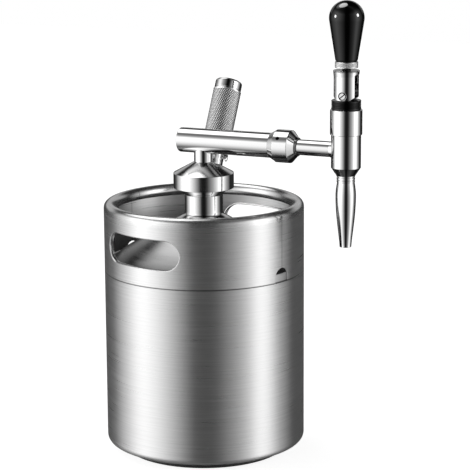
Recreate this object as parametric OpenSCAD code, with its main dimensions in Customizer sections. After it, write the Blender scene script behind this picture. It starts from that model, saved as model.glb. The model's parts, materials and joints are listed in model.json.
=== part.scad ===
// Nitro cold brew coffee keg with a stout tap.
// The origin is on the floor under the keg's axis, +Z is up, and the tap's arm runs along +X.
// All sizes are in millimetres.

/* [Keg] */
// Outer diameter of the keg
keg_d = 175; // [160:1:220]
// Thickness of the keg's steel sheet
sheet_t = 1.2; // [0.8:0.1:1.6]
// Height of the steel wall from its bottom to the seam under the collar
wall_h = 154.2; // [120:1:260]
// Outside radius of the corner between the wall and the bottom
corner_r = 5.5; // [3:0.5:8]
// Rise of the dish in the middle of the bottom
dish_h = 12; // [6:1:18]
// Height of the welded lip that stands up inside the collar
lip_h = 7.3; // [4:0.1:10]
// Depth below the seam at which the dome starts to curve in
dome_drop = 11.7; // [9:0.1:20]
// Slope of the dome's coned shoulder
dome_slope = 31; // [26:1:36]
// Outside radius of the dome's knuckle
knuckle_r = 34; // [26:1:36]
// Length of the plain skirt below the knuckle
skirt_h = 6; // [3:1:12]

/* [Foot ring] */
// Height of the rubber ring, which is also the steel's height above the floor
foot_h = 7; // [5:0.5:12]
// Distance from the keg's wall in to the ring's outer edge
foot_inset = 15.5; // [12:0.5:24]
// Width of the ring
foot_w = 14; // [8:0.5:18]
// Edge radius where the ring meets the floor
foot_edge_r = 2; // [0.5:0.5:2.5]

/* [Collar] */
// Height from the seam to the top of the rolled rim
collar_h = 61.1; // [54:0.1:90]
// Outside radius of the rolled rim
roll_r = 5.5; // [4:0.5:7]
// Angle through which the rim is curled, from the outer wall over the top
roll_angle = 238; // [200:1:280]
// Dark line left open between the collar and the wall's shoulder
seam_gap = 0.4; // [0.3:0.1:0.8]
// Turn of the keg's hand slots relative to the tap's arm
keg_turn = -16.5; // [-60:0.5:60]
// Height of a hand slot
slot_h = 25.4; // [20:0.1:28]
// Width of a hand slot, straight across
slot_w = 78.6; // [60:0.1:100]
// Height of a hand slot's lower edge above the seam
slot_up = 15.9; // [14:0.1:22]
// Depth of the folded edge round a hand slot
slot_fold = 2.8; // [1:0.1:5]
// Width of a drain notch
notch_w = 16.4; // [12:0.2:20]
// Height of a drain notch above the seam
notch_h = 12.6; // [12:0.1:14]

/* [Neck] */
// Outer diameter of the neck tube
neck_d = 33.4; // [30:0.2:38]
// Height of the neck tube above the line of the dome's cone
neck_h = 17; // [12:0.2:30]
// Outside radius of the flare between the neck and the dome
flare_r = 4.5; // [3:0.5:9]
// Outer diameter of the neck ring's thread
thread_d = 43.2; // [42:0.2:48]
// Height of the neck ring's coned part
spud_cone_h = 5.5; // [5:0.1:10]
// Height of the neck ring's threaded part
spud_thread_h = 9; // [7:0.1:12]

/* [Cap] */
// Thickness of the cap's wall round the thread
cap_wall = 4.5; // [3:0.1:6]
// Height of the cap's straight band
cap_band_h = 13.1; // [12.5:0.1:18]
// Height of the cap's cone
cap_cone_h = 9.9; // [8:0.1:16]
// Radial clearance between the cap and the neck ring
cap_gap = 0.3; // [0.3:0.05:0.5]
// Thickness of the cap's gasket
gasket_t = 1.9; // [1:0.1:2.4]
// Clearance left at a seal or a stop
seat_gap = 0.3; // [0.3:0.05:0.4]

/* [Riser and arm] */
// Diameter of the riser
riser_d = 16.4; // [14:0.1:18]
// Height of the arm's axis above the top of the cap
riser_h = 18; // [14:0.5:30]
// Diameter of the arm
arm_d = 21.5; // [20.5:0.1:24]
// Length of the arm behind the riser's axis
arm_back = 21.8; // [15:0.1:40]
// Length of the arm in front of the riser's axis
arm_front = 64.2; // [40:0.1:90]
// Diameter of the bore through the arm
arm_bore = 9; // [7:0.5:10]
// Diameter of the coffee's way through the riser, shank and cap
flow_d = 6; // [4:0.5:6.4]

/* [Coupling and shank] */
// Diameter of the coupling nut
nut_d = 28.3; // [26:0.1:32]
// Length of the nut's coned shoulder
nut_cone_l = 5.6; // [3:0.1:8]
// Length of the nut's straight band
nut_band_l = 13.4; // [11:0.1:20]
// Length of the nut's coned nose
nut_nose_l = 5.9; // [4:0.1:8]
// Diameter of the nut's spanner hole
nut_hole_d = 2.8; // [2:0.1:4]
// Angle of the spanner hole above the side of the nut
nut_hole_angle = 36; // [0:1:60]
// Distance of the spanner hole's edge from the nut's coned shoulder
nut_hole_in = 3; // [1:0.1:6]
// Diameter of the shank
shank_d = 13.4; // [12:0.1:14]
// Distance from the riser's axis to the faucet's axis
faucet_x = 132.1; // [126:0.1:160]
// Length of the flared collar between the shank and the faucet
flange_l = 0.9; // [0.5:0.1:3]

/* [Faucet] */
// Diameter of the faucet's body
body_d = 25.3; // [24.6:0.1:28]
// Height of the body's straight part below the arm's axis
body_down = 14.6; // [12:0.1:20]
// Height of the body's straight part above the arm's axis
body_up = 13.6; // [10:0.1:20]
// Height of the cone under the body
body_cone_h = 6.9; // [5:0.1:10]
// Diameter of the body's chamber
chamber_d = 16; // [14:0.2:16.4]
// Diameter of the bonnet sleeve
bonnet_d = 27.3; // [26.6:0.1:30]
// Height of the bonnet sleeve
bonnet_h = 21.4; // [19:0.1:28]
// Thickness of the bonnet's roof
bonnet_roof = 6; // [4:0.1:7]
// Diameter of the friction ring
ring_d = 25.2; // [23:0.1:26.4]
// Height of the friction ring
ring_h = 7.8; // [5:0.1:10]

/* [Nozzle] */
// Length of the nozzle below the body's cone
nozzle_l = 61.7; // [50:0.1:80]
// Diameter of the nozzle's tip
tip_d = 10; // [9:0.1:12]
// Diameter of the nozzle's swelling
swell_d = 17.4; // [16.4:0.1:20]
// Distance from the swelling's middle to the tip
swell_up = 44; // [36:0.5:48]
// Diameter of the nozzle's grooved ring
grip_d = 15.7; // [14.6:0.1:16.4]
// Height of the nozzle's grooved ring
grip_h = 5.6; // [5:0.1:8]
// Width and depth of the two grooves
groove_w = 0.9; // [0.5:0.1:1.2]
// Diameter of the nozzle's bore at the tip
spout_d = 6.4; // [4:0.1:7]

/* [Stem and lever] */
// Diameter of the stem
stem_d = 8; // [7:0.1:9]
// Radial running clearance of the stem
stem_gap = 0.05; // [0.02:0.01:0.1]
// Height of the pivot above the lever's lowest edge
pivot_up = 3.8; // [3.6:0.1:5]
// Diameter of the pivot screw
pivot_d = 4; // [3:0.1:4]
// Rise of the stem for each radian of the lever, which is the radius of the cam's involute
cam_rise = 4.3; // [3:0.1:5]
// Angle that the lever can be pulled forward
lever_travel = 40; // [30:1:45]
// Thickness of the stem's tongue
tongue_t = 10; // [8:0.1:10.4]
// Diameter of the lever's barrel
lever_d = 21.4; // [20.8:0.1:24]
// Diameter of the barrel's top edge
lever_top_d = 22.9; // [22.6:0.1:26]
// Height of the barrel
lever_h = 24.8; // [23:0.1:32]
// Height of the barrel's front slot
lever_slot_h = 19.1; // [16:0.1:20]
// Height of stud that shows between the barrel and the lock nut
stud_show = 2.1; // [1:0.1:4]
// Diameter of the stud
stud_d = 8; // [6:0.5:10]
// Diameter of the lock nut
lock_d = 19.8; // [16:0.1:22]
// Height of the lock nut
lock_h = 5.2; // [4:0.1:8]

/* [Handle] */
// Height of the handle
handle_h = 50.9; // [44:0.1:70]
// Diameter of the handle's foot
handle_foot_d = 19.1; // [18:0.1:22]
// Greatest diameter of the handle
handle_d = 29.6; // [27:0.1:34]
// Diameter of the threaded insert in the handle
insert_d = 11; // [10.6:0.1:12]

/* [Gas holder] */
// Lean of the holder away from the vertical
gas_lean = 26; // [22:1:30]
// Turn of the holder from square to the arm
gas_turn = -4; // [-10:1:10]
// Distance from the keg's axis to the boss, where it leaves the cap's cone
gas_r = 15.8; // [15.2:0.1:18]
// Diameter of the boss
boss_d = 18.4; // [16:0.1:20]
// Height of the boss above the cone
boss_h = 12; // [11.5:0.1:14]
// Outer diameter of the holder's sleeve
sleeve_d = 24.8; // [24:0.1:25.4]
// Length of the holder's sleeve
sleeve_l = 54.8; // [53.6:0.1:60]
// Length of the holder's end cap outside the sleeve
end_cap_l = 9; // [8:0.1:14]
// Diameter of the holder's end cap
end_cap_d = 23.7; // [23:0.1:25]
// Diameter of the gas charger
charger_d = 18; // [17.6:0.1:18.4]
// Length of the gas charger
charger_l = 66; // [65:0.5:67]
// Diameter of the thread that the sleeve screws on
gas_thread_d = 21; // [20.6:0.1:21.4]
// Length of that thread
gas_thread_l = 8; // [6:0.5:10]

/* [Relief valve] */
// Height of the relief valve above the cone, along the boss
relief_up = 7.4; // [5:0.1:8.6]
// Diameter of the relief valve's stub
relief_d = 5.6; // [5:0.1:6]
// Length of the stub beyond the boss
relief_l = 2.2; // [2:0.1:6]
// Travel of the relief valve's plunger
relief_travel = 0.9; // [0.4:0.1:1]
// Outer diameter of the pull ring
pull_d = 5.4; // [4.6:0.1:8]
// Diameter of the pull ring's wire
pull_wire = 0.8; // [0.6:0.1:0.9]

/* [Dip tube] */
// Outer diameter of the dip tube
dip_d = 8; // [7.6:0.1:9]
// Wall of the dip tube
dip_wall = 0.9; // [0.6:0.1:1.2]
// Gap between the dip tube's foot and the dish
dip_gap = 3.5; // [2:0.5:10]

/* [Hidden] */
$fn = 96;

// A cutter reaches this far past a face that it opens
past = 1;
// A chamfer that breaks a machined edge
edge = 0.5;

// Keg levels and radii
keg_r = keg_d / 2;
steel_z = foot_h;
seam_z = steel_z + wall_h;
knuckle_z = seam_z - dome_drop;
dome_r = keg_r - sheet_t;
neck_r = neck_d / 2;
// the coned shoulder: where it leaves the knuckle, and its height at any radius
cone_x = dome_r - knuckle_r + knuckle_r * sin(dome_slope);
cone_z = knuckle_z + knuckle_r * cos(dome_slope);
function shoulder_z(r) = cone_z + (cone_x - r) * tan(dome_slope);
neck_z = shoulder_z(neck_r) + neck_h;
flare_z = shoulder_z(neck_r + flare_r) + flare_r / cos(dome_slope);
foot_r = keg_r - foot_inset;
dish_r = foot_r - foot_w - 2;
dish_ball = (dish_r * dish_r + dish_h * dish_h) / (2 * dish_h);
rim_z = seam_z + collar_h;
roll_z = rim_z - roll_r;

// Neck ring and cap levels
thread_r = thread_d / 2;
spud_z = neck_z + spud_cone_h + spud_thread_h;
cap_r = thread_r + cap_gap + cap_wall;
cap_z = neck_z + spud_cone_h + cap_gap;
roof_z = spud_z + gasket_t + 2 * seat_gap;
band_z = cap_z + cap_band_h;
cap_top_z = band_z + cap_cone_h;
riser_r = riser_d / 2;
flow_r = flow_d / 2;

// Arm, coupling and shank stations along X
arm_z = cap_top_z + riser_h;
arm_r = arm_d / 2;
nut_r = nut_d / 2;
nut_bore_r = arm_r - 1.15;
nut_band_x = arm_front + nut_cone_l;
nut_nose_x = nut_band_x + nut_band_l;
nut_end_x = nut_nose_x + nut_nose_l;
arm_thread_x = nut_band_x + nut_band_l / 2;
seal_t = 1.6;
collar_t = 3;
shank_x = arm_thread_x + seal_t;
shank_r = shank_d / 2;
body_r = body_d / 2;
flange_x = faucet_x - body_r - flange_l;

// Faucet levels
chamber_r = chamber_d / 2;
body_low_z = arm_z - body_down;
body_top_z = arm_z + body_up;
cone_low_z = body_low_z - body_cone_h;
bonnet_top_z = body_top_z + bonnet_h;
roof_low_z = bonnet_top_z - bonnet_roof;
ring_top_z = bonnet_top_z + ring_h;
seat_hole_r = 3.5;
plug_foot_r = 5.6;
plug_foot_h = 3;
seat_z = body_low_z + 3.5;
socket_r = 6;
spigot_z = cone_low_z + 4;
disc_t = 1.6;
body_thread_r = bonnet_d / 2 - 2.7;
seal_h = 4;
guide_h = 8;
tip_z = cone_low_z - nozzle_l;

// Stem and lever levels
stem_r = stem_d / 2;
lever_r = lever_d / 2;
lever_low_z = ring_top_z + seat_gap;
pivot_z = lever_low_z + pivot_up;
lever_top_z = lever_low_z + lever_h;
tongue_r = 5.2;
screw_head_r = 3.5;
screw_seat_in = 2.2;
tongue_gap = 0.3;
lock_z = lever_top_z + stud_show;
handle_z = lock_z + lock_h;
handle_top_z = handle_z + handle_h;
insert_l = 22;
stud_low_z = lever_low_z + lever_slot_h + 1.2;

// Gas holder stations along the holder's own axis, measured from the cone
gas_z = band_z + cap_cone_h * (cap_r - gas_r) / (cap_r - riser_r);
boss_r = boss_d / 2;
gas_thread_r = gas_thread_d / 2;
sleeve_r = sleeve_d / 2;
charger_r = charger_d / 2;
charger_neck_r = 4.3;
charger_neck_l = 7;
shoulder_l = 6;
well_r = charger_neck_r + 0.3;
well_t = 4;
inlet_seal_t = 1.2;
charger_t = well_t + inlet_seal_t + seat_gap;
shoulder_t = charger_t + charger_neck_l;
sleeve_t = boss_h + seat_gap;
sleeve_bore_r = charger_r + 0.6;
sleeve_end_t = sleeve_t + sleeve_l;
charger_end_t = charger_t + charger_l;
pad_t = charger_end_t + seat_gap;
pad_h = 1.5;
plug_r = sleeve_r - 1.6;
plug_l = 4.5;
spigot_r = 4;
spigot_l = 4.5;
pin_t = well_t - 6;
pin_hole_r = 1.1;
rod_r = 0.7;
relief_bore_r = 1.9;
relief_wall = 1;
relief_x = boss_r + relief_l;
relief_floor_x = well_r + 0.8;
relief_way_r = 0.5;
relief_disc_x = relief_floor_x + 2 * relief_way_r + 0.1;
relief_disc_t = 1;
eye_r = 1.2;
eye_x = relief_x + eye_r + 0.1;

// A ring with its foot at z0
module tube(r_out, r_in, z0, h) {
    translate([0, 0, z0]) difference() {
        cylinder(r = r_out, h = h);
        translate([0, 0, -past]) cylinder(r = r_in, h = h + 2 * past);
    }
}

// Moves its children from the holder's own axis to their place on the cap's cone
module at_gas_port() {
    rotate([0, 0, gas_turn]) translate([0, gas_r, gas_z]) rotate([-gas_lean, 0, 0]) children();
}

// Moves its children to the relief valve's axis, with +Z pointing out of the boss
module at_relief() {
    at_gas_port() translate([0, 0, relief_up]) rotate([0, 90, 0]) children();
}

// Lays its children along the arm's axis, with +Z pointing to the faucet
module along_arm() {
    translate([0, 0, arm_z]) rotate([0, 90, 0]) children();
}

module at_faucet() {
    translate([faucet_x, 0, 0]) children();
}

// Half section of the drawn cup, drawn inwards by off
module cup_section(off) {
    difference() {
        union() {
            translate([0, steel_z + corner_r])
                square([keg_r - off, wall_h + lip_h]);
            translate([0, steel_z + off]) square([keg_r - corner_r, corner_r]);
            intersection() {
                translate([keg_r - corner_r, steel_z + corner_r]) circle(r = corner_r - off);
                translate([keg_r - 2 * corner_r, steel_z]) square([2 * corner_r, corner_r]);
            }
        }
        translate([0, steel_z + dish_h - dish_ball]) circle(r = dish_ball + off, $fn = 360);
    }
}

module tank_shell() {
    color("silver") rotate_extrude($fn = 180) difference() {
        cup_section(0);
        // the inside, which narrows by one sheet where the lip is joggled in
        difference() {
            cup_section(sheet_t);
            polygon([[keg_r - 2 * sheet_t, seam_z], [keg_r, seam_z - 2 * sheet_t],
                     [keg_r, rim_z], [keg_r - 2 * sheet_t, rim_z]]);
        }
        // the step that the collar sits on
        translate([keg_r - sheet_t, seam_z]) square([2 * sheet_t, wall_h]);
        // everything above the lip
        translate([0, seam_z + lip_h]) square([keg_r, wall_h]);
        translate([-keg_r, 0]) square([keg_r, rim_z]);
    }
}

// Half section of the dome, its flare and its neck, drawn inwards by off
module dome_section(off) {
    slant = off / cos(dome_slope);
    floor_z = knuckle_z - skirt_h - past;
    difference() {
        union() {
            // skirt and knuckle
            translate([0, floor_z]) square([dome_r - off, skirt_h + past]);
            intersection() {
                translate([dome_r - knuckle_r, knuckle_z]) circle(r = knuckle_r - off, $fn = 180);
                translate([0, knuckle_z]) square([dome_r, knuckle_r]);
            }
            // coned shoulder
            polygon([[0, knuckle_z - past], [dome_r - knuckle_r, knuckle_z - past],
                     [cone_x - off * sin(dome_slope), cone_z - off * cos(dome_slope)],
                     [0, shoulder_z(0) - slant]]);
            // the flare's block and the neck
            translate([0, cone_z - slant]) square([neck_r + flare_r, flare_z - cone_z + slant]);
            translate([0, flare_z - past]) square([neck_r - off, neck_z]);
        }
        // the flare, rounded between the neck and the cone
        translate([neck_r + flare_r, flare_z]) circle(r = flare_r + off);
        polygon([[neck_r - off, flare_z], [neck_r + flare_r, flare_z],
                 [neck_r + flare_r * (1 - sin(dome_slope)) - off * sin(dome_slope),
                  flare_z - (flare_r + off) * cos(dome_slope)],
                 [keg_d, shoulder_z(keg_d) - slant], [keg_d, 2 * neck_z],
                 [neck_r - off, 2 * neck_z]]);
    }
}

module tank_top() {
    color("silver") rotate_extrude($fn = 180) intersection() {
        difference() {
            dome_section(0);
            dome_section(sheet_t);
        }
        translate([0, knuckle_z - skirt_h]) square([keg_r, neck_z - knuckle_z + skirt_h]);
    }
}

module neck_spud() {
    color("silver") rotate_extrude() polygon([
        [neck_r - sheet_t, neck_z], [neck_r, neck_z],
        [thread_r, neck_z + spud_cone_h], [thread_r, spud_z - edge],
        [thread_r - edge, spud_z], [neck_r - sheet_t, spud_z]]);
}

// The straight punch that opens a hand slot in the wall, larger by grow all round
module slot_punch(grow) {
    half_h = slot_h / 2 + grow;
    end_y = slot_w / 2 - slot_h / 2;
    translate([keg_r / 2, 0, seam_z + slot_up + slot_h / 2]) rotate([90, 0, 90])
        linear_extrude(height = keg_r) {
            square([2 * end_y, 2 * half_h], center = true);
            for (side = [-1, 1]) translate([side * end_y, 0]) circle(r = half_h);
        }
}

// An arched block through the wall at a drain notch
module notch_block() {
    spring_z = seam_z + notch_h - notch_w / 2;
    translate([keg_r - 4 * sheet_t, 0, 0]) {
        translate([0, 0, spring_z]) rotate([0, 90, 0])
            cylinder(r = notch_w / 2, h = 8 * sheet_t);
        translate([0, -notch_w / 2, seam_z - past])
            cube([8 * sheet_t, notch_w, spring_z - seam_z + past]);
    }
}

module collar() {
    roll_x = keg_r - roll_r;
    color("silver") rotate([0, 0, keg_turn]) {
        difference() {
            rotate_extrude($fn = 180) {
                translate([keg_r - sheet_t, seam_z + seam_gap])
                    square([sheet_t, roll_z - seam_z - seam_gap]);
                translate([roll_x, roll_z]) difference() {
                    circle(r = roll_r);
                    circle(r = roll_r - sheet_t);
                    // the part of the circle that the curl leaves open
                    polygon([[0, 0], [3 * roll_r, 0], [3 * roll_r, -3 * roll_r],
                             [0, -3 * roll_r],
                             3 * roll_r * [cos(roll_angle), sin(roll_angle)]]);
                }
            }
            for (side = [-90, 90])
                rotate([0, 0, side]) slot_punch(0);
            for (side = [0, 180]) rotate([0, 0, side]) notch_block();
        }
        // the folded edge round each hand slot
        for (side = [-90, 90]) rotate([0, 0, side]) difference() {
            intersection() {
                tube(keg_r - sheet_t, keg_r - sheet_t - slot_fold, seam_z, collar_h);
                slot_punch(sheet_t);
            }
            slot_punch(0);
        }
    }
}

module base_ring() {
    color("dimgray") rotate_extrude($fn = 180) difference() {
        translate([foot_r - foot_w, 0]) square([foot_w, foot_h]);
        // rounded outer edge at the floor
        difference() {
            translate([foot_r - foot_edge_r, -past])
                square([foot_edge_r + past, foot_edge_r + past]);
            translate([foot_r - foot_edge_r, foot_edge_r]) circle(r = foot_edge_r, $fn = 48);
        }
    }
}

module cap_gasket() {
    color("dimgray") tube(thread_r - edge, neck_r - sheet_t, spud_z + seat_gap, gasket_t);
}

// The cap's outer shape, which the gas boss is cut to
module cap_outside() {
    rotate_extrude() polygon([
        [0, cap_z], [cap_r - edge, cap_z], [cap_r, cap_z + edge], [cap_r, band_z],
        [riser_r, cap_top_z], [0, cap_top_z]]);
}

module cap() {
    dip_top_z = cap_top_z - 6;
    color("gainsboro") difference() {
        cap_outside();
        translate([0, 0, cap_z - past])
            cylinder(r = thread_r + cap_gap, h = roof_z - cap_z + past);
        cylinder(r = flow_r, h = cap_top_z + past);
        translate([0, 0, roof_z - past]) cylinder(r = dip_d / 2, h = dip_top_z - roof_z + past);
        translate([0, 0, roof_z - past]) cylinder(r = dip_d / 2 + 2.2, h = 2.5 + past);
        at_gas_port() translate([0, 0, -spigot_l]) cylinder(r = spigot_r, h = 10);
        at_gas_port() translate([0, 0, -20]) cylinder(r = pin_hole_r, h = 20, $fn = 32);
        relief_way();
    }
}

module tube_seal() {
    color("dimgray") tube(dip_d / 2 + 2.2, dip_d / 2, roof_z, 2.5);
}

module dip_tube() {
    foot_z = steel_z + dish_h + sheet_t + dip_gap;
    dip_top_z = cap_top_z - 6;
    color("lightgray") tube(dip_d / 2, dip_d / 2 - dip_wall, foot_z, dip_top_z - foot_z);
}

module riser() {
    color("gainsboro") difference() {
        translate([0, 0, cap_top_z]) cylinder(r = riser_r, h = riser_h);
        cylinder(r = flow_r, h = arm_z + past);
        along_arm() translate([0, 0, -arm_back]) cylinder(r = arm_r, h = 2 * arm_back);
    }
}

module arm_tube() {
    color("gainsboro") difference() {
        along_arm() {
            translate([0, 0, -arm_back]) cylinder(r1 = arm_r - 1.2, r2 = arm_r, h = 1.2);
            translate([0, 0, 1.2 - arm_back]) cylinder(r = arm_r, h = arm_front + arm_back - 1.2);
            translate([0, 0, arm_front])
                cylinder(r = nut_bore_r, h = arm_thread_x - arm_front);
        }
        along_arm() translate([0, 0, 5 - arm_back])
            cylinder(r = arm_bore / 2, h = arm_thread_x + arm_back);
        translate([0, 0, cap_top_z]) cylinder(r = flow_r, h = riser_h);
    }
}

module coupling_nut() {
    color("gainsboro") along_arm() difference() {
        rotate_extrude() polygon([
            [nut_bore_r, arm_front], [arm_r + 0.1, arm_front],
            [nut_r - edge, nut_band_x - edge], [nut_r, nut_band_x],
            [nut_r, nut_nose_x - edge], [nut_r - edge, nut_nose_x],
            [shank_r + 2.2, nut_end_x - 1.6], [shank_r + 1.2, nut_end_x],
            [shank_r + 0.1, nut_end_x], [shank_r + 0.1, shank_x + collar_t],
            [nut_bore_r, shank_x + collar_t]]);
        // blind hole for a pin spanner
        translate([0, 0, nut_band_x + nut_hole_in + nut_hole_d / 2])
            rotate([0, 0, -nut_hole_angle])
            rotate([-90, 0, 0]) translate([0, 0, -nut_r - past])
            cylinder(d = nut_hole_d, h = 2.4 + past, $fn = 32);
    }
}

module shank_seal() {
    color("white") along_arm() tube(nut_bore_r, flow_r + 1, arm_thread_x, seal_t);
}

module shank() {
    color("gainsboro") difference() {
        along_arm() {
            translate([0, 0, shank_x]) cylinder(r = nut_bore_r - 0.2, h = collar_t);
            translate([0, 0, shank_x]) cylinder(r = shank_r, h = flange_x - shank_x);
            translate([0, 0, shank_x]) cylinder(r = shank_r - 1.7, h = faucet_x - shank_x);
        }
        along_arm() cylinder(r = flow_r, h = faucet_x);
        at_faucet() cylinder(r = chamber_r, h = bonnet_top_z);
    }
}

module shank_flange() {
    color("white") difference() {
        along_arm() translate([0, 0, flange_x]) difference() {
            cylinder(r1 = shank_r + 0.2, r2 = shank_r + 0.9, h = flange_l + 3);
            translate([0, 0, -past]) cylinder(r = shank_r - 1.7, h = flange_l + 3 + 2 * past);
        }
        at_faucet() cylinder(r = body_r, h = bonnet_top_z);
    }
}

module faucet_body() {
    color("gainsboro") difference() {
        at_faucet() difference() {
            rotate_extrude() polygon([
                [0, cone_low_z], [grip_d / 2 + 0.2, cone_low_z], [body_r, body_low_z],
                [body_r, body_top_z - 0.3], [body_r - 0.3, body_top_z],
                [body_thread_r, body_top_z], [body_thread_r, roof_low_z], [0, roof_low_z]]);
            translate([0, 0, seat_z]) cylinder(r = chamber_r, h = roof_low_z - seat_z + past);
            translate([0, 0, cone_low_z]) cylinder(r = seat_hole_r, h = seat_z);
            translate([0, 0, cone_low_z - past])
                cylinder(r = socket_r, h = spigot_z + disc_t - cone_low_z + past);
        }
        along_arm() translate([0, 0, flange_x])
            cylinder(r = shank_r - 1.7, h = faucet_x - flange_x);
    }
}

module bonnet() {
    color("gainsboro") at_faucet() rotate_extrude() polygon([
        [body_thread_r, body_top_z], [bonnet_d / 2 - 0.3, body_top_z],
        [bonnet_d / 2, body_top_z + 0.3], [bonnet_d / 2, bonnet_top_z - 1.1],
        [bonnet_d / 2 - 0.35, bonnet_top_z - 0.35], [bonnet_d / 2 - 1.1, bonnet_top_z],
        [stem_r + 0.3, bonnet_top_z], [stem_r + 0.3, roof_low_z], [body_thread_r, roof_low_z]]);
}

module friction_ring() {
    color("dimgray") at_faucet() rotate_extrude() polygon([
        [stem_r + 1.6, bonnet_top_z], [ring_d / 2, bonnet_top_z],
        [ring_d / 2, ring_top_z - edge], [ring_d / 2 - edge, ring_top_z],
        [stem_r + 1.6, ring_top_z]]);
}

module stem_seal() {
    color("white") at_faucet() tube(chamber_r, stem_r + stem_gap, roof_low_z - seal_h, seal_h);
}

module stem_guide() {
    color("ivory") at_faucet()
        tube(chamber_r, stem_r + stem_gap, roof_low_z - seal_h - guide_h, guide_h);
}

module restrictor_disc() {
    holes = 5;
    color("silver") at_faucet() translate([0, 0, spigot_z]) difference() {
        cylinder(r = socket_r, h = disc_t);
        for (i = [0 : holes - 1]) rotate([0, 0, 360 * i / holes])
            translate([2.2, 0, -past]) cylinder(r = 0.5, h = disc_t + 2 * past, $fn = 24);
    }
}

module nozzle_seal() {
    color("dimgray") at_faucet() tube(socket_r, flow_r + 1.2, spigot_z - 1.4, 1.4);
}

// Radius of the nozzle at a height above its tip: a taper up to the swelling, then a shoulder
function nozzle_r(h) = let (rise = swell_up, top = nozzle_l - grip_h,
                            lo = tip_d / 2, hi = swell_d / 2, end = grip_d / 2 - 0.4)
    h < rise ? lo + (hi - lo) * pow(sin(90 * h / rise), 1.25)
             : end + (hi - end) * cos(90 * (h - rise) / (top - rise));

module nozzle() {
    steps = 20;
    ring_z = cone_low_z - grip_h;
    groove_d = groove_w * 0.7;
    color("gainsboro") at_faucet() difference() {
        rotate_extrude() union() {
            polygon(concat([[0, tip_z]],
                [for (i = [0 : steps]) let (h = (nozzle_l - grip_h) * i / steps)
                    [nozzle_r(h), tip_z + h]],
                [[0, ring_z]]));
            // the grip ring with its two grooves
            polygon([[0, ring_z], [grip_d / 2 - edge, ring_z], [grip_d / 2, ring_z + edge],
                [grip_d / 2, ring_z + 1.4], [grip_d / 2 - groove_d, ring_z + 1.4 + groove_w / 2],
                [grip_d / 2, ring_z + 1.4 + groove_w],
                [grip_d / 2, cone_low_z - 0.8 - groove_w],
                [grip_d / 2 - groove_d, cone_low_z - 0.8 - groove_w / 2],
                [grip_d / 2, cone_low_z - 0.8], [grip_d / 2, cone_low_z], [0, cone_low_z]]);
            translate([0, cone_low_z - past]) square([socket_r, spigot_z - 1.4 - cone_low_z + past]);
        }
        translate([0, 0, tip_z - past]) cylinder(d = spout_d, h = spigot_z - tip_z + 2 * past);
        translate([0, 0, tip_z - past])
            cylinder(r1 = spout_d / 2 + 1.2 + past, r2 = spout_d / 2, h = 1.2 + past);
    }
}

module stem() {
    foot_z = seat_z + seat_gap + plug_foot_h;
    room = 2 * (tongue_r + past);
    color("silver") at_faucet() difference() {
        union() {
            translate([0, 0, foot_z]) cylinder(r = plug_foot_r, h = 2);
            translate([0, 0, foot_z]) cylinder(r = stem_r, h = pivot_z - foot_z);
            // the flat tongue, round about the pivot
            intersection() {
                translate([0, tongue_t / 2, pivot_z]) rotate([90, 0, 0])
                    cylinder(r = tongue_r, h = tongue_t);
                translate([-room / 2, -room / 2, ring_top_z + tongue_gap]) cube(room);
            }
        }
        translate([0, tongue_t, pivot_z]) rotate([90, 0, 0])
            cylinder(r = pivot_d / 2 + stem_gap, h = 2 * tongue_t);
    }
}

module seat_seal() {
    color("dimgray") at_faucet() translate([0, 0, seat_z + seat_gap])
        cylinder(r1 = seat_hole_r + 1.2, r2 = plug_foot_r, h = plug_foot_h);
}

// Distance of the cam's edge below the pivot when the lever has turned by angle a
function cam_support(a) = pivot_up + cam_rise * a * PI / 180;
// Point of the cam's edge that touches the ring at angle a: an involute's point
function cam_point(a) = [cam_support(a) * sin(a) + cam_rise * cos(a),
                         -cam_support(a) * cos(a) + cam_rise * sin(a)];

// Side view of the lever's lower edge, mirrored front and back
module cam_side() {
    steps = 10;
    wing = cam_point(lever_travel) + lever_top_d * [cos(lever_travel), sin(lever_travel)];
    front = concat([for (i = [0 : steps]) cam_point(lever_travel * i / steps)], [wing]);
    back = [for (i = [steps + 1 : -1 : 0]) [-front[i][0], front[i][1]]];
    polygon(concat(front, [[0, 2 * lever_h]], back));
}

module lever() {
    slot_half_w = tongue_t / 2 + tongue_gap;
    slot_top = lever_slot_h - pivot_up;
    bevel = 3;
    color("gainsboro") at_faucet() translate([0, 0, pivot_z]) difference() {
        intersection() {
            translate([0, 0, -pivot_up]) rotate_extrude() polygon([
                [0, 0], [lever_r, 0], [lever_r, lever_h - 5],
                [lever_top_d / 2 - 0.3, lever_h - 1.2], [lever_top_d / 2, lever_h - 0.8],
                [lever_top_d / 2 - 0.5, lever_h], [0, lever_h]]);
            translate([0, lever_top_d, 0]) rotate([90, 0, 0])
                linear_extrude(height = 2 * lever_top_d) cam_side();
        }
        // room for the tongue, and the open front slot with its bevelled top
        translate([0, slot_half_w, 0]) rotate([90, 0, 0]) linear_extrude(height = 2 * slot_half_w) {
            circle(r = tongue_r + 2 * tongue_gap);
            translate([-tongue_r - 2 * tongue_gap, -2 * pivot_up])
                square([lever_top_d, 2 * pivot_up]);
            polygon([[0, -past], [lever_top_d, -past],
                     [lever_top_d, slot_top + bevel + (lever_top_d - lever_r) * bevel / 3],
                     [lever_r, slot_top + bevel], [lever_r - 3, slot_top], [0, slot_top]]);
        }
        // pivot hole, and the seat of the screw's head
        translate([0, lever_r, 0]) rotate([90, 0, 0]) cylinder(d = pivot_d, h = 2 * lever_r);
        translate([0, -lever_r + screw_seat_in, 0]) rotate([90, 0, 0])
            cylinder(r = screw_head_r, h = 5);
        // thread for the stud
        translate([0, 0, stud_low_z - pivot_z])
            cylinder(d = stud_d, h = lever_top_z - stud_low_z + past);
    }
}

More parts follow.
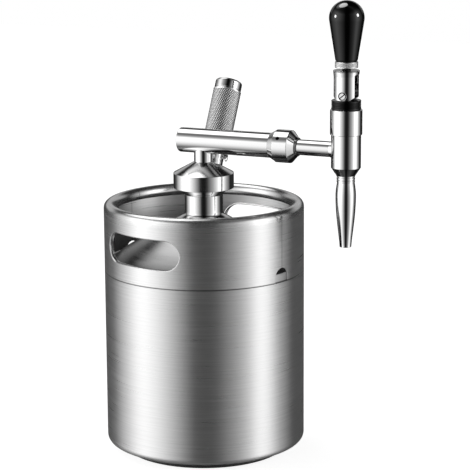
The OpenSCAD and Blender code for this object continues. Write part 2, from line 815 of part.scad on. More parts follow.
module pivot_screw() {
    head_y = -lever_r + screw_seat_in;
    color("silver") at_faucet() translate([0, 0, pivot_z]) rotate([90, 0, 0]) difference() {
        union() {
            translate([0, 0, -lever_r + 1.2]) cylinder(d = pivot_d, h = lever_r - 1.2 - head_y);
            translate([0, 0, -head_y]) cylinder(r = screw_head_r, h = 1.7);
        }
        // the screwdriver slot
        rotate([0, 0, 40]) translate([-5, -0.5, -head_y + 0.8]) cube([10, 1, 4]);
    }
}

module lever_stud() {
    color("dimgray") at_faucet() translate([0, 0, stud_low_z])
        cylinder(d = stud_d, h = handle_z + insert_l - 4 - stud_low_z);
}

module lock_nut() {
    color("lightgray") at_faucet() difference() {
        rotate_extrude() polygon([
            [0, lock_z], [lock_d / 2 - edge, lock_z], [lock_d / 2, lock_z + edge],
            [lock_d / 2, handle_z - edge], [lock_d / 2 - edge, handle_z], [0, handle_z]]);
        translate([0, 0, lock_z - past]) cylinder(d = stud_d, h = lock_h + 2 * past);
    }
}

module handle() {
    head_r = handle_d / 2;
    head_z = handle_top_z - head_r;
    foot = handle_foot_d / 2;
    // the cone from the foot that just touches the head's circle
    rise = head_z - handle_z - 1.5;
    far = sqrt(rise * rise + foot * foot);
    touch = asin(head_r / far) - atan2(foot, rise);
    color("black") at_faucet() difference() {
        rotate_extrude() union() {
            intersection() {
                translate([0, head_z]) circle(r = head_r);
                translate([0, head_z - head_r]) square([2 * head_r, 2 * head_r]);
            }
            polygon([[0, handle_z], [foot - 1.2, handle_z], [foot - 0.35, handle_z + 0.4],
                     [foot, handle_z + 1.5],
                     [head_r * cos(touch), head_z - head_r * sin(touch)], [0, head_z]]);
        }
        translate([0, 0, handle_z - past]) cylinder(d = insert_d, h = insert_l + past);
    }
}

module handle_insert() {
    color("goldenrod") at_faucet()
        tube(insert_d / 2, stud_d / 2, handle_z, insert_l);
}

// The drilling that leads the keg's gas to the foot of the relief valve's bore
module relief_way() {
    at_gas_port() translate([relief_floor_x + relief_way_r, 0, -20])
        cylinder(r = relief_way_r, h = 20 + relief_up, $fn = 32);
}

module gas_port() {
    color("gainsboro") difference() {
        at_gas_port() difference() {
            union() {
                translate([0, 0, -8]) cylinder(r = boss_r, h = boss_h + 8);
                translate([0, 0, boss_h]) cylinder(r = gas_thread_r, h = gas_thread_l);
            }
            translate([0, 0, -past - 8]) cylinder(r = pin_hole_r, h = 20, $fn = 32);
            translate([0, 0, pin_t]) cylinder(r = 2, h = 10, $fn = 48);
            // the well for the charger's neck and the flare for its shoulder
            translate([0, 0, well_t]) cylinder(r = well_r, h = 30);
            translate([0, 0, shoulder_t]) cylinder(r1 = well_r, r2 = charger_r + 0.4, h = 4.5);
            translate([0, 0, shoulder_t + 4.5 - 0.01]) cylinder(r = charger_r + 0.4, h = 30);
        }
        cap_outside();
        cylinder(r = riser_r, h = arm_z);
        at_relief() translate([0, 0, relief_floor_x])
            cylinder(r = relief_bore_r, h = boss_r - relief_floor_x + past);
        relief_way();
    }
    // the spigot that fixes the boss in the cap
    color("gainsboro") difference() {
        intersection() {
            cap_outside();
            at_gas_port() tube(spigot_r, pin_hole_r, -spigot_l, 10);
        }
        at_gas_port() translate([0, 0, pin_t]) cylinder(r = 2, h = 10, $fn = 48);
    }
}

module piercing_pin() {
    color("silver") at_gas_port() translate([0, 0, pin_t]) difference() {
        union() {
            cylinder(r = 2, h = 5);
            cylinder(r = 0.9, h = 7.8);
            translate([0, 0, 7.8]) cylinder(r1 = 0.9, r2 = 0.45, h = 1.4);
        }
        translate([0, 0, -past]) cylinder(r = 0.35, h = 12, $fn = 24);
    }
}

module inlet_seal() {
    color("dimgray") at_gas_port() tube(charger_neck_r, 2, well_t, inlet_seal_t);
}

module relief_body() {
    color("gainsboro") difference() {
        at_relief() cylinder(r = relief_d / 2, h = relief_x);
        at_relief() translate([0, 0, -past])
            cylinder(r = relief_bore_r, h = relief_x - relief_wall + past);
        at_relief() cylinder(r = rod_r + 0.1, h = relief_x + past, $fn = 32);
        at_gas_port() cylinder(r = boss_r, h = boss_h);
    }
}

module relief_pin() {
    color("silver") at_relief() {
        translate([0, 0, relief_disc_x])
            cylinder(r = relief_bore_r - 0.1, h = relief_disc_t, $fn = 48);
        translate([0, 0, relief_disc_x])
            cylinder(r = rod_r, h = eye_x - eye_r + 0.3 - relief_disc_x, $fn = 32);
        // the flat eye that the ring hangs in
        difference() {
            translate([0, 0.6, eye_x]) rotate([90, 0, 0]) cylinder(r = eye_r, h = 1.2, $fn = 48);
            translate([0, 3, eye_x]) rotate([90, 0, 0])
                cylinder(r = pull_wire / 2 + 0.25, h = 6, $fn = 32);
        }
    }
}

// A coil of round wire as one closed skin: rings of points along a helix
module coil(r, wire, turns, pitch, rings, sides) {
    count = turns * rings;
    lean = atan2(pitch, 2 * PI * r);
    points = [for (i = [0 : count], j = [0 : sides - 1])
        let (a = 360 * i / rings, b = 360 * j / sides,
             out = r + wire / 2 * cos(b), up = wire / 2 * sin(b) * cos(lean),
             back = wire / 2 * sin(b) * sin(lean))
        [out * cos(a) + back * sin(a), out * sin(a) - back * cos(a),
         pitch * i / rings + up]];
    sides_faces = [for (i = [0 : count - 1], j = [0 : sides - 1])
        let (p = i * sides + j, q = i * sides + (j + 1) % sides)
        each [[p, p + sides, q + sides], [p, q + sides, q]]];
    start = [for (j = [1 : sides - 2]) [0, j, j + 1]];
    last = count * sides;
    end = [for (j = [1 : sides - 2]) [last, last + j + 1, last + j]];
    polyhedron(points = points, faces = concat(sides_faces, start, end));
}

module relief_spring() {
    turns = 3;
    wire = 0.35;
    // the room between the disc and the stub's end wall, less the plunger's travel
    room = relief_x - relief_wall - relief_travel - relief_disc_x - relief_disc_t - 0.1;
    color("silver") at_relief()
        translate([0, 0, relief_disc_x + relief_disc_t + wire / 2 + 0.05])
        coil(relief_bore_r - 0.5, wire, turns, (room - wire) / turns, 16, 6);
}

module pull_ring() {
    mid = pull_d / 2 - pull_wire / 2;
    color("silver") at_relief() translate([mid, 0, eye_x]) rotate_extrude($fn = 64)
        translate([mid, 0]) circle(d = pull_wire, $fn = 24);
}

module gas_cartridge() {
    color("silver") at_gas_port() rotate_extrude() difference() {
        union() {
            translate([0, charger_t]) square([charger_neck_r, charger_neck_l + 2]);
            polygon([[0, shoulder_t], [charger_neck_r, shoulder_t],
                     [charger_r - 1.2, shoulder_t + shoulder_l - 1.5],
                     [charger_r, shoulder_t + shoulder_l + 1],
                     [charger_r, charger_end_t - charger_r], [0, charger_end_t - charger_r]]);
            intersection() {
                translate([0, charger_end_t - charger_r]) circle(r = charger_r);
                translate([0, charger_end_t - charger_r]) square([charger_r, charger_r]);
            }
        }
        // the hole that the pin has made in the neck
        translate([0, charger_t - past]) square([1.3, 4 + past]);
    }
}

module holder_sleeve() {
    color("darkgray") at_gas_port() difference() {
        translate([0, 0, sleeve_t]) rotate_extrude() polygon([
            [0, 0], [sleeve_r - 0.8, 0], [sleeve_r, 0.8], [sleeve_r, sleeve_l - 0.5],
            [sleeve_r - 0.5, sleeve_l], [0, sleeve_l]]);
        translate([0, 0, sleeve_t - past])
            cylinder(r = sleeve_bore_r, h = sleeve_l + 2 * past);
        translate([0, 0, sleeve_t - past])
            cylinder(r = gas_thread_r + 0.1, h = gas_thread_l + seat_gap + past);
        translate([0, 0, sleeve_end_t - plug_l]) cylinder(r = plug_r, h = plug_l + past);
    }
}

module holder_cap() {
    top = sleeve_end_t + end_cap_l;
    round_r = 2.4;
    r = end_cap_d / 2;
    color("gainsboro") at_gas_port() difference() {
        rotate_extrude() union() {
            translate([0, sleeve_end_t + 0.9]) square([r - round_r, end_cap_l - 0.9]);
            translate([0, sleeve_end_t + 0.9]) square([r, end_cap_l - 0.9 - round_r]);
            intersection() {
                translate([r - round_r, top - round_r]) circle(r = round_r);
                translate([r - round_r, top - round_r]) square([round_r, round_r]);
            }
            // a plain neck leaves the fine groove between the cap and the sleeve
            translate([0, sleeve_end_t]) square([sleeve_r - 0.9, 1]);
            // the threaded plug inside the sleeve
            translate([0, sleeve_end_t - plug_l + seat_gap]) square([plug_r, plug_l]);
        }
        translate([0, 0, sleeve_end_t - plug_l])
            cylinder(r = charger_r + 0.3, h = pad_t + pad_h - sleeve_end_t + plug_l);
    }
}

module holder_pad() {
    color("dimgray") at_gas_port() translate([0, 0, pad_t]) cylinder(r = charger_r, h = pad_h);
}

tank_shell();
tank_top();
neck_spud();
collar();
base_ring();
cap_gasket();
cap();
riser();
arm_tube();
coupling_nut();
shank_seal();
shank();
shank_flange();
faucet_body();
bonnet();
friction_ring();
stem_guide();
stem_seal();
restrictor_disc();
nozzle();
nozzle_seal();
dip_tube();
tube_seal();
gas_port();
piercing_pin();
inlet_seal();
relief_body();
stem();
seat_seal();
lever();
pivot_screw();
lever_stud();
lock_nut();
handle();
handle_insert();
gas_cartridge();
holder_sleeve();
holder_cap();
holder_pad();
relief_pin();
relief_spring();
pull_ring();
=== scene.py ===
# %% [markdown]
# A mini keg with a stout tap
#
# The object is a small steel keg with a rolled collar. A screw cap closes its neck, and the cap
# carries a side arm with a tall narrow tap and a leaning holder for a gas charger. Almost all of
# it is stainless steel, so the lesson is mostly about steel: how a surface was finished, what that
# does to a reflection, and what a studio has to hold for the steel to mirror.
#
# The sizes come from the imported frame. This script dresses it and builds finer surfaces where the
# plain solids lack something that the eye would look for, such as a knurl or a thread.

# %% Load the frame
import json
import math

import bmesh
import bpy
import numpy as np
from mathutils import Matrix, Vector


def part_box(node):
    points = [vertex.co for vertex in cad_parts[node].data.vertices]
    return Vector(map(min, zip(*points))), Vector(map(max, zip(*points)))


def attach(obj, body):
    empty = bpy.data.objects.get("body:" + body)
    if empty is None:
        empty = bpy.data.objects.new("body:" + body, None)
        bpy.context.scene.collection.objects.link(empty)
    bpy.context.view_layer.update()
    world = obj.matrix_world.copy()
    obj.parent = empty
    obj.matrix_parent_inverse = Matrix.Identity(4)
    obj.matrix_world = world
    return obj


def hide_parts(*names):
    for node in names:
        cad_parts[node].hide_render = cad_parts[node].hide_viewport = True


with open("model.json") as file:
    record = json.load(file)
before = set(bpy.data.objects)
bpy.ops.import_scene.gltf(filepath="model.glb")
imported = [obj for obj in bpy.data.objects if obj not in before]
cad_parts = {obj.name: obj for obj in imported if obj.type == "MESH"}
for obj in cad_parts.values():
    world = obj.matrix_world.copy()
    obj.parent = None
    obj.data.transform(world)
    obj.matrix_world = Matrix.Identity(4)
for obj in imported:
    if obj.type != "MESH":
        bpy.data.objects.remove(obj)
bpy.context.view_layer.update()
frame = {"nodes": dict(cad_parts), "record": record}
nodes = frame["nodes"]
MM = 0.001

# %% [markdown]
# The camera
#
# Product pictures are taken from well back with a long lens, so that upright edges stay upright.
# The camera here stands about 1.8 m away and looks down by twelve degrees. It is placed by its own
# three axes, worked out once by matching edges of the keg, the arm and the tap, because a fitted
# camera has a small roll that aiming at a point would lose.

# %% Camera
EYE = Vector((0.714370, -1.559224, 0.558793))
TO_RIGHT = Vector((0.91605452, 0.40101327, -0.00569855))
UPWARD = Vector((-0.07910513, 0.19459709, 0.97768827))
LENS_MM = 153.19
SENSOR_MM = 36.0

camera = bpy.data.objects.new("camera", bpy.data.cameras.new("camera"))
camera.data.lens = LENS_MM
camera.data.sensor_width = SENSOR_MM
backward = TO_RIGHT.cross(UPWARD).normalized()
camera.matrix_world = Matrix.Translation(EYE) @ Matrix(
    (TO_RIGHT, UPWARD, backward)).transposed().to_4x4()
bpy.context.collection.objects.link(camera)
bpy.context.scene.camera = camera
bpy.context.scene.view_settings.view_transform = "Standard"
print("the camera stands", round(EYE.length, 3), "m from the keg's foot")

# %% [markdown]
# Helpers for node trees
#
# A finish is a small tree of shader nodes. One helper turns a colour picked as an sRGB hex value
# into the linear numbers that the renderer works with. One plugs values and other nodes' outputs
# into a node, and one adds a node with its settings and links.

# %% Node helpers
def linear(hex_colour):
    """The sRGB hex colour as linear RGBA: each channel c becomes ((c + 0.055) / 1.055) ^ 2.4,
    or c / 12.92 in the darkest part."""
    srgb = [int(hex_colour[i:i + 2], 16) / 255 for i in (1, 3, 5)]
    return [c / 12.92 if c <= 0.04045 else ((c + 0.055) / 1.055) ** 2.4 for c in srgb] + [1.0]


def plug(node, inputs):
    """Gives a node's inputs, listed in order or by name, a value or another node's output."""
    for name, value in inputs.items() if isinstance(inputs, dict) else enumerate(inputs):
        if isinstance(value, bpy.types.NodeSocket):
            node.id_data.links.new(value, node.inputs[name])
        else:
            node.inputs[name].default_value = value


def add(tree, kind, inputs=(), out=0, stops=(), ease=False, **settings):
    """Adds a node with its settings and links, and returns the output that out names or numbers.
    stops are the stops of a colour ramp: each is a place and a grey or a hex colour."""
    node = tree.nodes.new("ShaderNode" + kind)
    for name, value in settings.items():
        setattr(node, name, value)
    if stops:
        node.color_ramp.interpolation = "EASE" if ease else "LINEAR"
        elements = node.color_ramp.elements
        while len(elements) < len(stops):
            elements.new(0.5)
        for element, (position, colour) in zip(elements, stops):
            element.position = position
            element.color = (linear(colour) if isinstance(colour, str)
                             else [colour] * 3 + [1.0])
    plug(node, inputs)
    return node.outputs[out]


print("mid grey #808080 is", round(linear("#808080")[0], 3), "in linear light")

# %% [markdown]
# The studio
#
# Polished steel has no look of its own: it shows the room. Photographers stand such an object
# between two tall white panels, left and right, leave the front dark so that the middle of every
# cylinder goes dark, hang a third panel overhead and stand a white backdrop behind it. That room is
# written here as a brightness for each direction: a ramp round the horizon, a ramp from floor to
# ceiling, and the two other panels. It lights the object and fills its reflections, so the metal
# shows the room's own backdrop, and the camera alone sees plain white behind the object.

# %% Panels of the studio
AHEAD = Vector((-backward.x, -backward.y, 0)).normalized()
SIDE = Vector((AHEAD.y, -AHEAD.x, 0))
# brightness round the horizon: degrees to the right of the camera's side of the keg
AROUND = [(-180, 0.02), (-146, 0.01), (-127, 0.06), (-101, 0.51), (-82, 0.96), (-73, 1.0),
          (-56, 0.79), (-26, 0.22), (-13, 0.02), (-4, 0.006), (6, 0.006), (15, 0.03), (37, 0.25),
          (52, 0.52), (62, 0.86), (68, 1.0), (77, 0.88), (95, 0.30), (119, 0.01), (180, 0.02)]
# brightness from straight down to straight up, in degrees of elevation
UPRIGHT = [(-90, 0.16), (-72, 0.03), (-56, 0.07), (-42, 0.24), (-31, 0.5), (-13, 0.88),
           (0, 1.0), (25, 1.0), (38, 0.30), (50, 0.10), (90, 0.10)]
# the overhead panel: where it hangs (right, towards the camera and up), and its soft edge as
# cosines of the angle from there
PANEL_AXIS = (SIDE * -0.36 + AHEAD * 0.30 + Vector((0, 0, 0.88))).normalized()
PANEL_EDGE = [(0.88, 0.0), (0.985, 1.0)]
# the backdrop: its soft edge as cosines of the angle from straight ahead, and its elevations
BACKDROP_EDGE = [(0.45, 0.0), (0.75, 1.0)]
BACKDROP_LEVEL = [(4, 0.0), (10, 1.0), (22, 1.0), (30, 0.0)]
STRENGTH, PANEL_LIGHT, BACKDROP_LIGHT = 2.25, 2.3, 0.5
FRONT = min(value for _, value in AROUND)
print("the side panels give", STRENGTH, "and the dark front", round(FRONT * STRENGTH, 4))

# %% Studio light
world = bpy.data.worlds.new("studio")
bpy.context.scene.world = world
world.use_nodes = True
sky = world.node_tree
sky.nodes.clear()
direction = add(sky, "TexCoord", out="Generated")
# how far the viewing direction lies along each of these axes: their dot product
to_side, to_camera, to_back, to_top, to_panel = (
    add(sky, "VectorMath", [direction, axis], "Value", operation="DOT_PRODUCT")
    for axis in (SIDE, -AHEAD, AHEAD, (0, 0, 1), PANEL_AXIS))
azimuth = add(sky, "Math", [to_side, to_camera], operation="ARCTAN2")
azimuth = add(sky, "MapRange", [azimuth, -math.pi, math.pi])
height = add(sky, "Math", [to_top], operation="ARCSINE")
height = add(sky, "MapRange", [height, -math.pi / 2, math.pi / 2])
around = add(sky, "ValToRGB", [azimuth], stops=[((a + 180) / 360, v) for a, v in AROUND])
upright, level = (add(sky, "ValToRGB", [height], stops=[((e + 90) / 180, v) for e, v in stops])
                  for stops in (UPRIGHT, BACKDROP_LEVEL))
behind = add(sky, "ValToRGB", [to_back], stops=BACKDROP_EDGE)
panel = add(sky, "ValToRGB", [to_panel], stops=PANEL_EDGE, ease=True)
sides = add(sky, "Math", [around, upright], operation="MULTIPLY")
panel = add(sky, "Math", [panel, PANEL_LIGHT / STRENGTH], operation="MULTIPLY")
backdrop = add(sky, "Math", [behind, level], operation="MULTIPLY")
backdrop = add(sky, "Math", [backdrop, BACKDROP_LIGHT / STRENGTH], operation="MULTIPLY")
room = add(sky, "Math", [sides, panel], operation="MAXIMUM")
room = add(sky, "Math", [room, backdrop], operation="MAXIMUM")
studio = add(sky, "Background", {"Color": room, "Strength": STRENGTH})
white = add(sky, "Background", {"Color": linear("#FFFFFF"), "Strength": 1.0})
seen = add(sky, "LightPath", out="Is Camera Ray")
shown = add(sky, "MixShader", [seen, studio, white])
plug(sky.nodes.new("ShaderNodeOutputWorld"), [shown])
print("the studio is", len(sky.nodes), "nodes")

# %% [markdown]
# The floor
#
# The keg stands on a pale seamless table. Most of its white is the floor's own glow, so that the
# soft dark of the contact shadow stays. It is left out of reflections, which show the studio's
# lower half instead.

# %% Floor
FLOOR_M = 6.0
FLOOR_GLOW = 0.86
floor = bpy.data.objects.new("floor", bpy.data.meshes.new("floor"))
far = FLOOR_M / 2
floor.data.from_pydata([(-far, -far, 0), (far, -far, 0), (far, far, 0), (-far, far, 0)], [],
                       [(0, 1, 2, 3)])
bpy.context.collection.objects.link(floor)
floor.visible_glossy = False
paper = bpy.data.materials.new("seamless_paper")
paper.use_nodes = True
tree = paper.node_tree
tree.nodes.clear()
lit = add(tree, "BsdfDiffuse", {"Color": linear("#B8B8B8")})
glow = add(tree, "Emission", {"Color": linear("#FFFFFF"), "Strength": FLOOR_GLOW})
both = add(tree, "AddShader", [lit, glow])
plug(tree.nodes.new("ShaderNodeOutputMaterial"), [both])
floor.data.materials.append(paper)
print("the floor is", FLOOR_M, "m square")

# %% [markdown]
# Finishes
#
# All the steel here is one alloy, a stainless of a neutral grey, so the base colour hardly
# changes. What changes is the last tool that touched it. So each finish is one shader whose
# roughness follows a grain, and the grain's cells are given in millimetres, as the tool's marks
# are. Marks too fine for the picture are drawn as coarse as they need to show.

# %% Finish helpers
# the middle of a noise, where nearly all of its values lie
GRAIN_SPAN = (0.3, 0.7)


def wiring(material):
    """A material's node tree and its Principled shader."""
    return material.node_tree, material.node_tree.nodes["Principled BSDF"]


def grain(tree, cell_mm, detail=2.0):
    """Noise on Object coordinates. Its cells measure cell_mm along x, y and z."""
    scale = [1 / (size * MM) for size in cell_mm]
    spot = add(tree, "VectorMath", [add(tree, "TexCoord", out="Object"), scale],
               operation="MULTIPLY")
    return add(tree, "TexNoise", {"Vector": spot, "Scale": 1.0, "Detail": detail})


def finish(name, colour, rough, cell_mm=None, bump_mm=0.0, **sockets):
    """A material with one Principled shader, its uniform values set on the shader's sockets.
    rough is a roughness, or the two values between which a grain moves it. The same grain
    lifts the surface by bump_mm."""
    material = bpy.data.materials.new(name)
    material.use_nodes = True
    tree, shader = wiring(material)
    plug(shader, {socket.replace("_", " "): value for socket, value in sockets.items()})
    plug(shader, {"Base Color": linear(colour)})
    if not cell_mm:
        plug(shader, {"Roughness": rough})
        return material
    marks = grain(tree, cell_mm)
    plug(shader, {"Roughness": add(tree, "MapRange", [marks, *GRAIN_SPAN, *rough])})
    if bump_mm:
        plug(shader, {"Normal": add(tree, "Bump", {
            "Height": marks, "Strength": 1.0, "Distance": bump_mm * MM})})
    return material


print("a finish reads the middle of its grain, from", GRAIN_SPAN[0], "to", GRAIN_SPAN[1])

# %% [markdown]
# Belt-brushed steel
#
# A belt run round the keg leaves hairlines round it, which stretch every highlight up and down.
# That is anisotropy, with the tangent along the hairlines. Real hairlines lie 0.05 mm apart, which
# is too fine for the picture, so they are drawn 1 mm apart. Under the collar's edge runs a joint,
# and a thin band round it is darkened with painted shade.

# %% Belt-brushed steel
HAIRLINE_MM = (45.45, 45.45, 1.0)
STREAK_MM = (200.0, 200.0, 6.25)
STREAK_SHARE = 0.2
BRUSHED_ROUGH, BRUSHED_TONE, BRUSHED_METALLIC = (0.27, 0.39), (0.9, 1.06), 0.9
LIFT_MM = 0.002
# the band of painted shade round the joint under the collar: where it starts to fade, in mm, and
# its darkest tone
JOINT_MM, JOINT_SHADE_TONE = 0.35, 0.35


def belt_brushed(name, marks=None):
    """Steel brushed round the upright axis: the tangent is the axis crossed with the place.
    marks is a function that adds a piece's own marks, and any painted shade, to the hairlines,
    roughness and tone."""
    material = finish(name, "#D6D6D6", 0.33, Metallic=BRUSHED_METALLIC, Anisotropic=0.85,
                      Anisotropic_Rotation=0.25)
    tree, shader = wiring(material)
    spot = add(tree, "TexCoord", out="Object")
    up = add(tree, "SeparateXYZ", [spot], "Z")
    hairs = add(tree, "Mix", {0: STREAK_SHARE, 2: grain(tree, HAIRLINE_MM, detail=1.0),
                              3: grain(tree, STREAK_MM)})
    rough, tone = (add(tree, "MapRange", [hairs, *GRAIN_SPAN, *span])
                   for span in (BRUSHED_ROUGH, BRUSHED_TONE))
    # painted shade: a thin band round the joint under the collar's edge is darkened
    off_joint = add(tree, "Math", [up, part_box("collar")[0].z], operation="SUBTRACT")
    off_joint = add(tree, "Math", [off_joint], operation="ABSOLUTE")
    joint = add(tree, "MapRange", [off_joint, JOINT_MM * MM, 2 * JOINT_MM * MM, JOINT_SHADE_TONE, 1.0])
    tone = add(tree, "Math", [tone, joint], operation="MULTIPLY")
    if marks:
        hairs, rough, tone = marks(tree, shader, spot, up, hairs, rough, tone)
    plug(shader, {
        "Tangent": add(tree, "VectorMath", [(0, 0, 1), spot], operation="CROSS_PRODUCT"),
        "Base Color": add(tree, "VectorMath", {0: linear("#D6D6D6")[:3], "Scale": tone},
                          operation="SCALE"),
        "Roughness": rough,
        "Normal": add(tree, "Bump", {"Height": hairs, "Strength": 1.0, "Distance": LIFT_MM * MM})})
    return material


brushed = belt_brushed("belt_brushed_stainless")
print("hairlines", HAIRLINE_MM[2], "mm apart")

# %% [markdown]
# The collar's sheet
#
# The collar was rolled from sheet and welded, and the grinder that dressed the welds crossed the
# hairlines there. Its rim was buffed after brushing. Its inside keeps the pale finish of the mill,
# and lower down, towards the gutter round the dome, it is darkened with painted shade.

# %% Welded sheet
# how far the collar, with its slots, notches and welds, is turned about the upright axis
KEG_TURN = math.radians(-16.5)
WELD_MM, WELD_TONE = 0.3, 0.6
# the rim's roughness, the mill's metallic, and the darkest tone of the painted shade towards the
# gutter
RIM_ROUGH, MILL_METALLIC, GUTTER_SHADE_TONE = 0.19, 0.6, 0.16
# where each finish, and the painted shade towards the gutter, gives way to the next: heights, and
# distances from the keg's axis
RIM_Z, GUTTER_Z = np.array([213.5, 216.5]) * MM, np.array([178.0, 205.0]) * MM
CURLED_R, INSIDE_R = np.array([84.8, 85.2]) * MM, np.array([86.2, 86.8]) * MM


def radius_of(tree, spot, across=(1, 1, 0)):
    """The distance from an axis, by default the upright one: the length of (x, y, 0)."""
    flat = add(tree, "VectorMath", [spot, across], operation="MULTIPLY")
    return add(tree, "VectorMath", [flat], "Value", operation="LENGTH")


def sheet_marks_and_shade(tree, shader, spot, up, hairs, rough, tone):
    """The hairlines, roughness and tone with the welds, rim, inside and the painted shade towards
    the gutter added. A weld is where the place has next to no part across the plane through the
    axis and both notches."""
    across = (-math.sin(KEG_TURN), math.cos(KEG_TURN), 0)
    off_weld = add(tree, "VectorMath", [spot, across], "Value", operation="DOT_PRODUCT")
    off_weld = add(tree, "Math", [off_weld], operation="ABSOLUTE")
    weld = add(tree, "MapRange", [off_weld, WELD_MM * MM, 2 * WELD_MM * MM, WELD_TONE, 1.0])
    radius = radius_of(tree, spot)
    rim = add(tree, "Math", [add(tree, "MapRange", [up, *RIM_Z]),
                             add(tree, "MapRange", [radius, *CURLED_R, 1.0, 0.0])],
              operation="MAXIMUM")
    below = add(tree, "Math", [1.0, rim], operation="SUBTRACT")
    inside = add(tree, "MapRange", [radius, *INSIDE_R, 1.0, 0.0])
    mill = add(tree, "Math", [inside, below], operation="MULTIPLY")
    # painted shade: the inside darkens downwards towards the gutter, for the shade that falls there
    depth = add(tree, "MapRange", [up, *GUTTER_Z, GUTTER_SHADE_TONE, 1.0])
    gutter = add(tree, "Mix", {0: mill, 2: 1.0, 3: depth})
    plug(shader, {"Metallic": add(tree, "Mix", {0: mill, 2: BRUSHED_METALLIC, 3: MILL_METALLIC})})
    for shade in (weld, gutter):
        tone = add(tree, "Math", [tone, shade], operation="MULTIPLY")
    return (add(tree, "Math", [hairs, below], operation="MULTIPLY"),
            add(tree, "Mix", {0: rim, 2: rough, 3: RIM_ROUGH}), tone)


brushed_sheet = belt_brushed("belt_brushed_welded_sheet", sheet_marks_and_shade)
print("welds", 2 * WELD_MM, "mm wide")

# %% [markdown]
# Buffed and turned steel
#
# A buffing wheel leaves the tap and the arm almost a mirror, with a faint haze. The cap was turned
# in one pass and lightly buffed, so its reflections have soft borders. Small lathe-cut parts are
# satin, with fine rings round them, drawn a millimetre apart to show. The pressed diamonds of a
# knurl are matt, because the wheel tears the steel a little, and the grooves between them are
# darkened with painted shade. The threaded stud's steel is given a dark colour as painted shade
# for its threads, and reads almost black.

# %% Buffed and turned steel
BUFFED = {"colour": "#DADADA", "rough": (0.03, 0.07), "cell_mm": (16.67, 16.67, 16.67)}
EDGE_MM = 0.35
polished = finish("buffed_stainless", Metallic=1.0, **BUFFED)
capped = finish("buffed_turned_stainless", "#D8D8D8", (0.11, 0.17), (20, 20, 1.429), Metallic=1.0)
turned = finish("turned_stainless", "#C9C9C9", (0.20, 0.32), (25, 25, 1.111), 0.01, Metallic=1.0)
# painted shade: the stud's steel is made dark for the shade deep in its threads
dark_steel = finish("painted_thread_shade_steel", "#3A3A3A", (0.30, 0.45), (3.333,) * 3, Metallic=1.0)
knurled = finish("knurled_stainless", "#FCFCFC", (0.22, 0.32), (0.8333,) * 3, Metallic=0.95)
tree, shader = wiring(knurled)
# how deep each point lies in its groove comes from the lathe below, and the deepest parts are
# darkened with painted shade
in_groove = add(tree, "Attribute", out="Fac", attribute_name="groove")
# painted shade: the deepest part of each groove is darkened
plug(shader, {"Base Color": add(tree, "ValToRGB", [in_groove], stops=[
    (0.0, "#FCFCFC"), (0.5, "#F4F4F4"), (0.95, "#444444")])})


def eased_steel(name):
    """Buffed steel for solids with sharp edges: a bevel in the shader breaks the edges."""
    material = finish(name, Metallic=1.0, **BUFFED)
    tree, shader = wiring(material)
    plug(shader, {"Normal": add(tree, "Bevel", {"Radius": EDGE_MM * MM}, samples=6)})
    return material


eased = eased_steel("buffed_stainless_eased")
print("edges eased by", EDGE_MM, "mm")

# %% [markdown]
# Steel with two finishes
#
# The arm is buffed along its length, and its blind end is left as the facing tool cut it. The
# keg's coned top is spun over a former and its neck buffed after that. Reflections pass through the
# collar here, so the shade that it throws on the top is given as a darker tone towards the gutter.
# The coupling nut has a drilled hole for a pin spanner, darkened with painted shade along the
# drill's whole line, which also puts a dark spot on the nut's far side, where no hole is cut. The
# pivot screw's slot and the gap round its head are darkened with painted shade.

# %% Arm and top
END_MM, END_ROUGH, ARM_ROUGH = (0.2, 0.5), 0.34, 0.05
faced = finish("buffed_stainless_faced_end", "#DADADA", ARM_ROUGH, Metallic=1.0)
tree, shader = wiring(faced)
end_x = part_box("arm_tube")[0].x
x = add(tree, "SeparateXYZ", [add(tree, "TexCoord", out="Object")], "X")
off_end = add(tree, "MapRange", [x, *(end_x + mm * MM for mm in END_MM)])
plug(shader, {"Roughness": add(tree, "Mix", {0: off_end, 2: END_ROUGH, 3: ARM_ROUGH}),
              "Base Color": add(tree, "ValToRGB", [off_end],
                                stops=[(0.0, "#7C7C7C"), (1.0, "#DADADA")])})

# heights where the neck's finish begins, and the distances over which the dome darkens
NECK_Z, DOME_R = np.array([207.5, 208.5]) * MM, np.array([30.0, 86.0]) * MM
DOME_ROUGH, NECK_ROUGH = (0.20, 0.28), (0.07, 0.12)
spun = finish("spun_stainless", "#D1D1D1", DOME_ROUGH[0], Metallic=1.0)
tree, shader = wiring(spun)
spot = add(tree, "TexCoord", out="Object")
passes = grain(tree, (33.33, 33.33, 2.0))
wide, tight = (add(tree, "MapRange", [passes, *GRAIN_SPAN, *span])
               for span in (DOME_ROUGH, NECK_ROUGH))
on_neck = add(tree, "MapRange", [add(tree, "SeparateXYZ", [spot], "Z"), *NECK_Z])
shade = add(tree, "MapRange", [radius_of(tree, spot), *DOME_R])
plug(shader, {
    "Roughness": add(tree, "Mix", {0: on_neck, 2: wide, 3: tight}),
    "Normal": add(tree, "Bump", {"Height": passes, "Strength": 1.0, "Distance": LIFT_MM * MM}),
    "Base Color": add(tree, "ValToRGB", [shade], stops=[
        (0.0, "#D1D1D1"), (0.3, "#9C9C9C"), (0.72, "#6E6E6E"), (1.0, "#262626")])})
print("the arm's faced end is at x =", round(end_x / MM, 1), "mm")

# %% Nut and screw
# where the drill's line crosses the arm, and the radius of the painted shade round that line
HOLE_X, HOLE_SHADE_R = 74.2 * MM, 1.6 * MM
HOLE_ANGLE = math.radians(36)
HOLE_EDGE = 0.1 * MM
drilled = eased_steel("drilled_buffed_stainless")
tree, shader = wiring(drilled)
arm_axis = (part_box("coupling_nut")[0].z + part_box("coupling_nut")[1].z) / 2
drill = (0.0, -math.cos(HOLE_ANGLE), math.sin(HOLE_ANGLE))
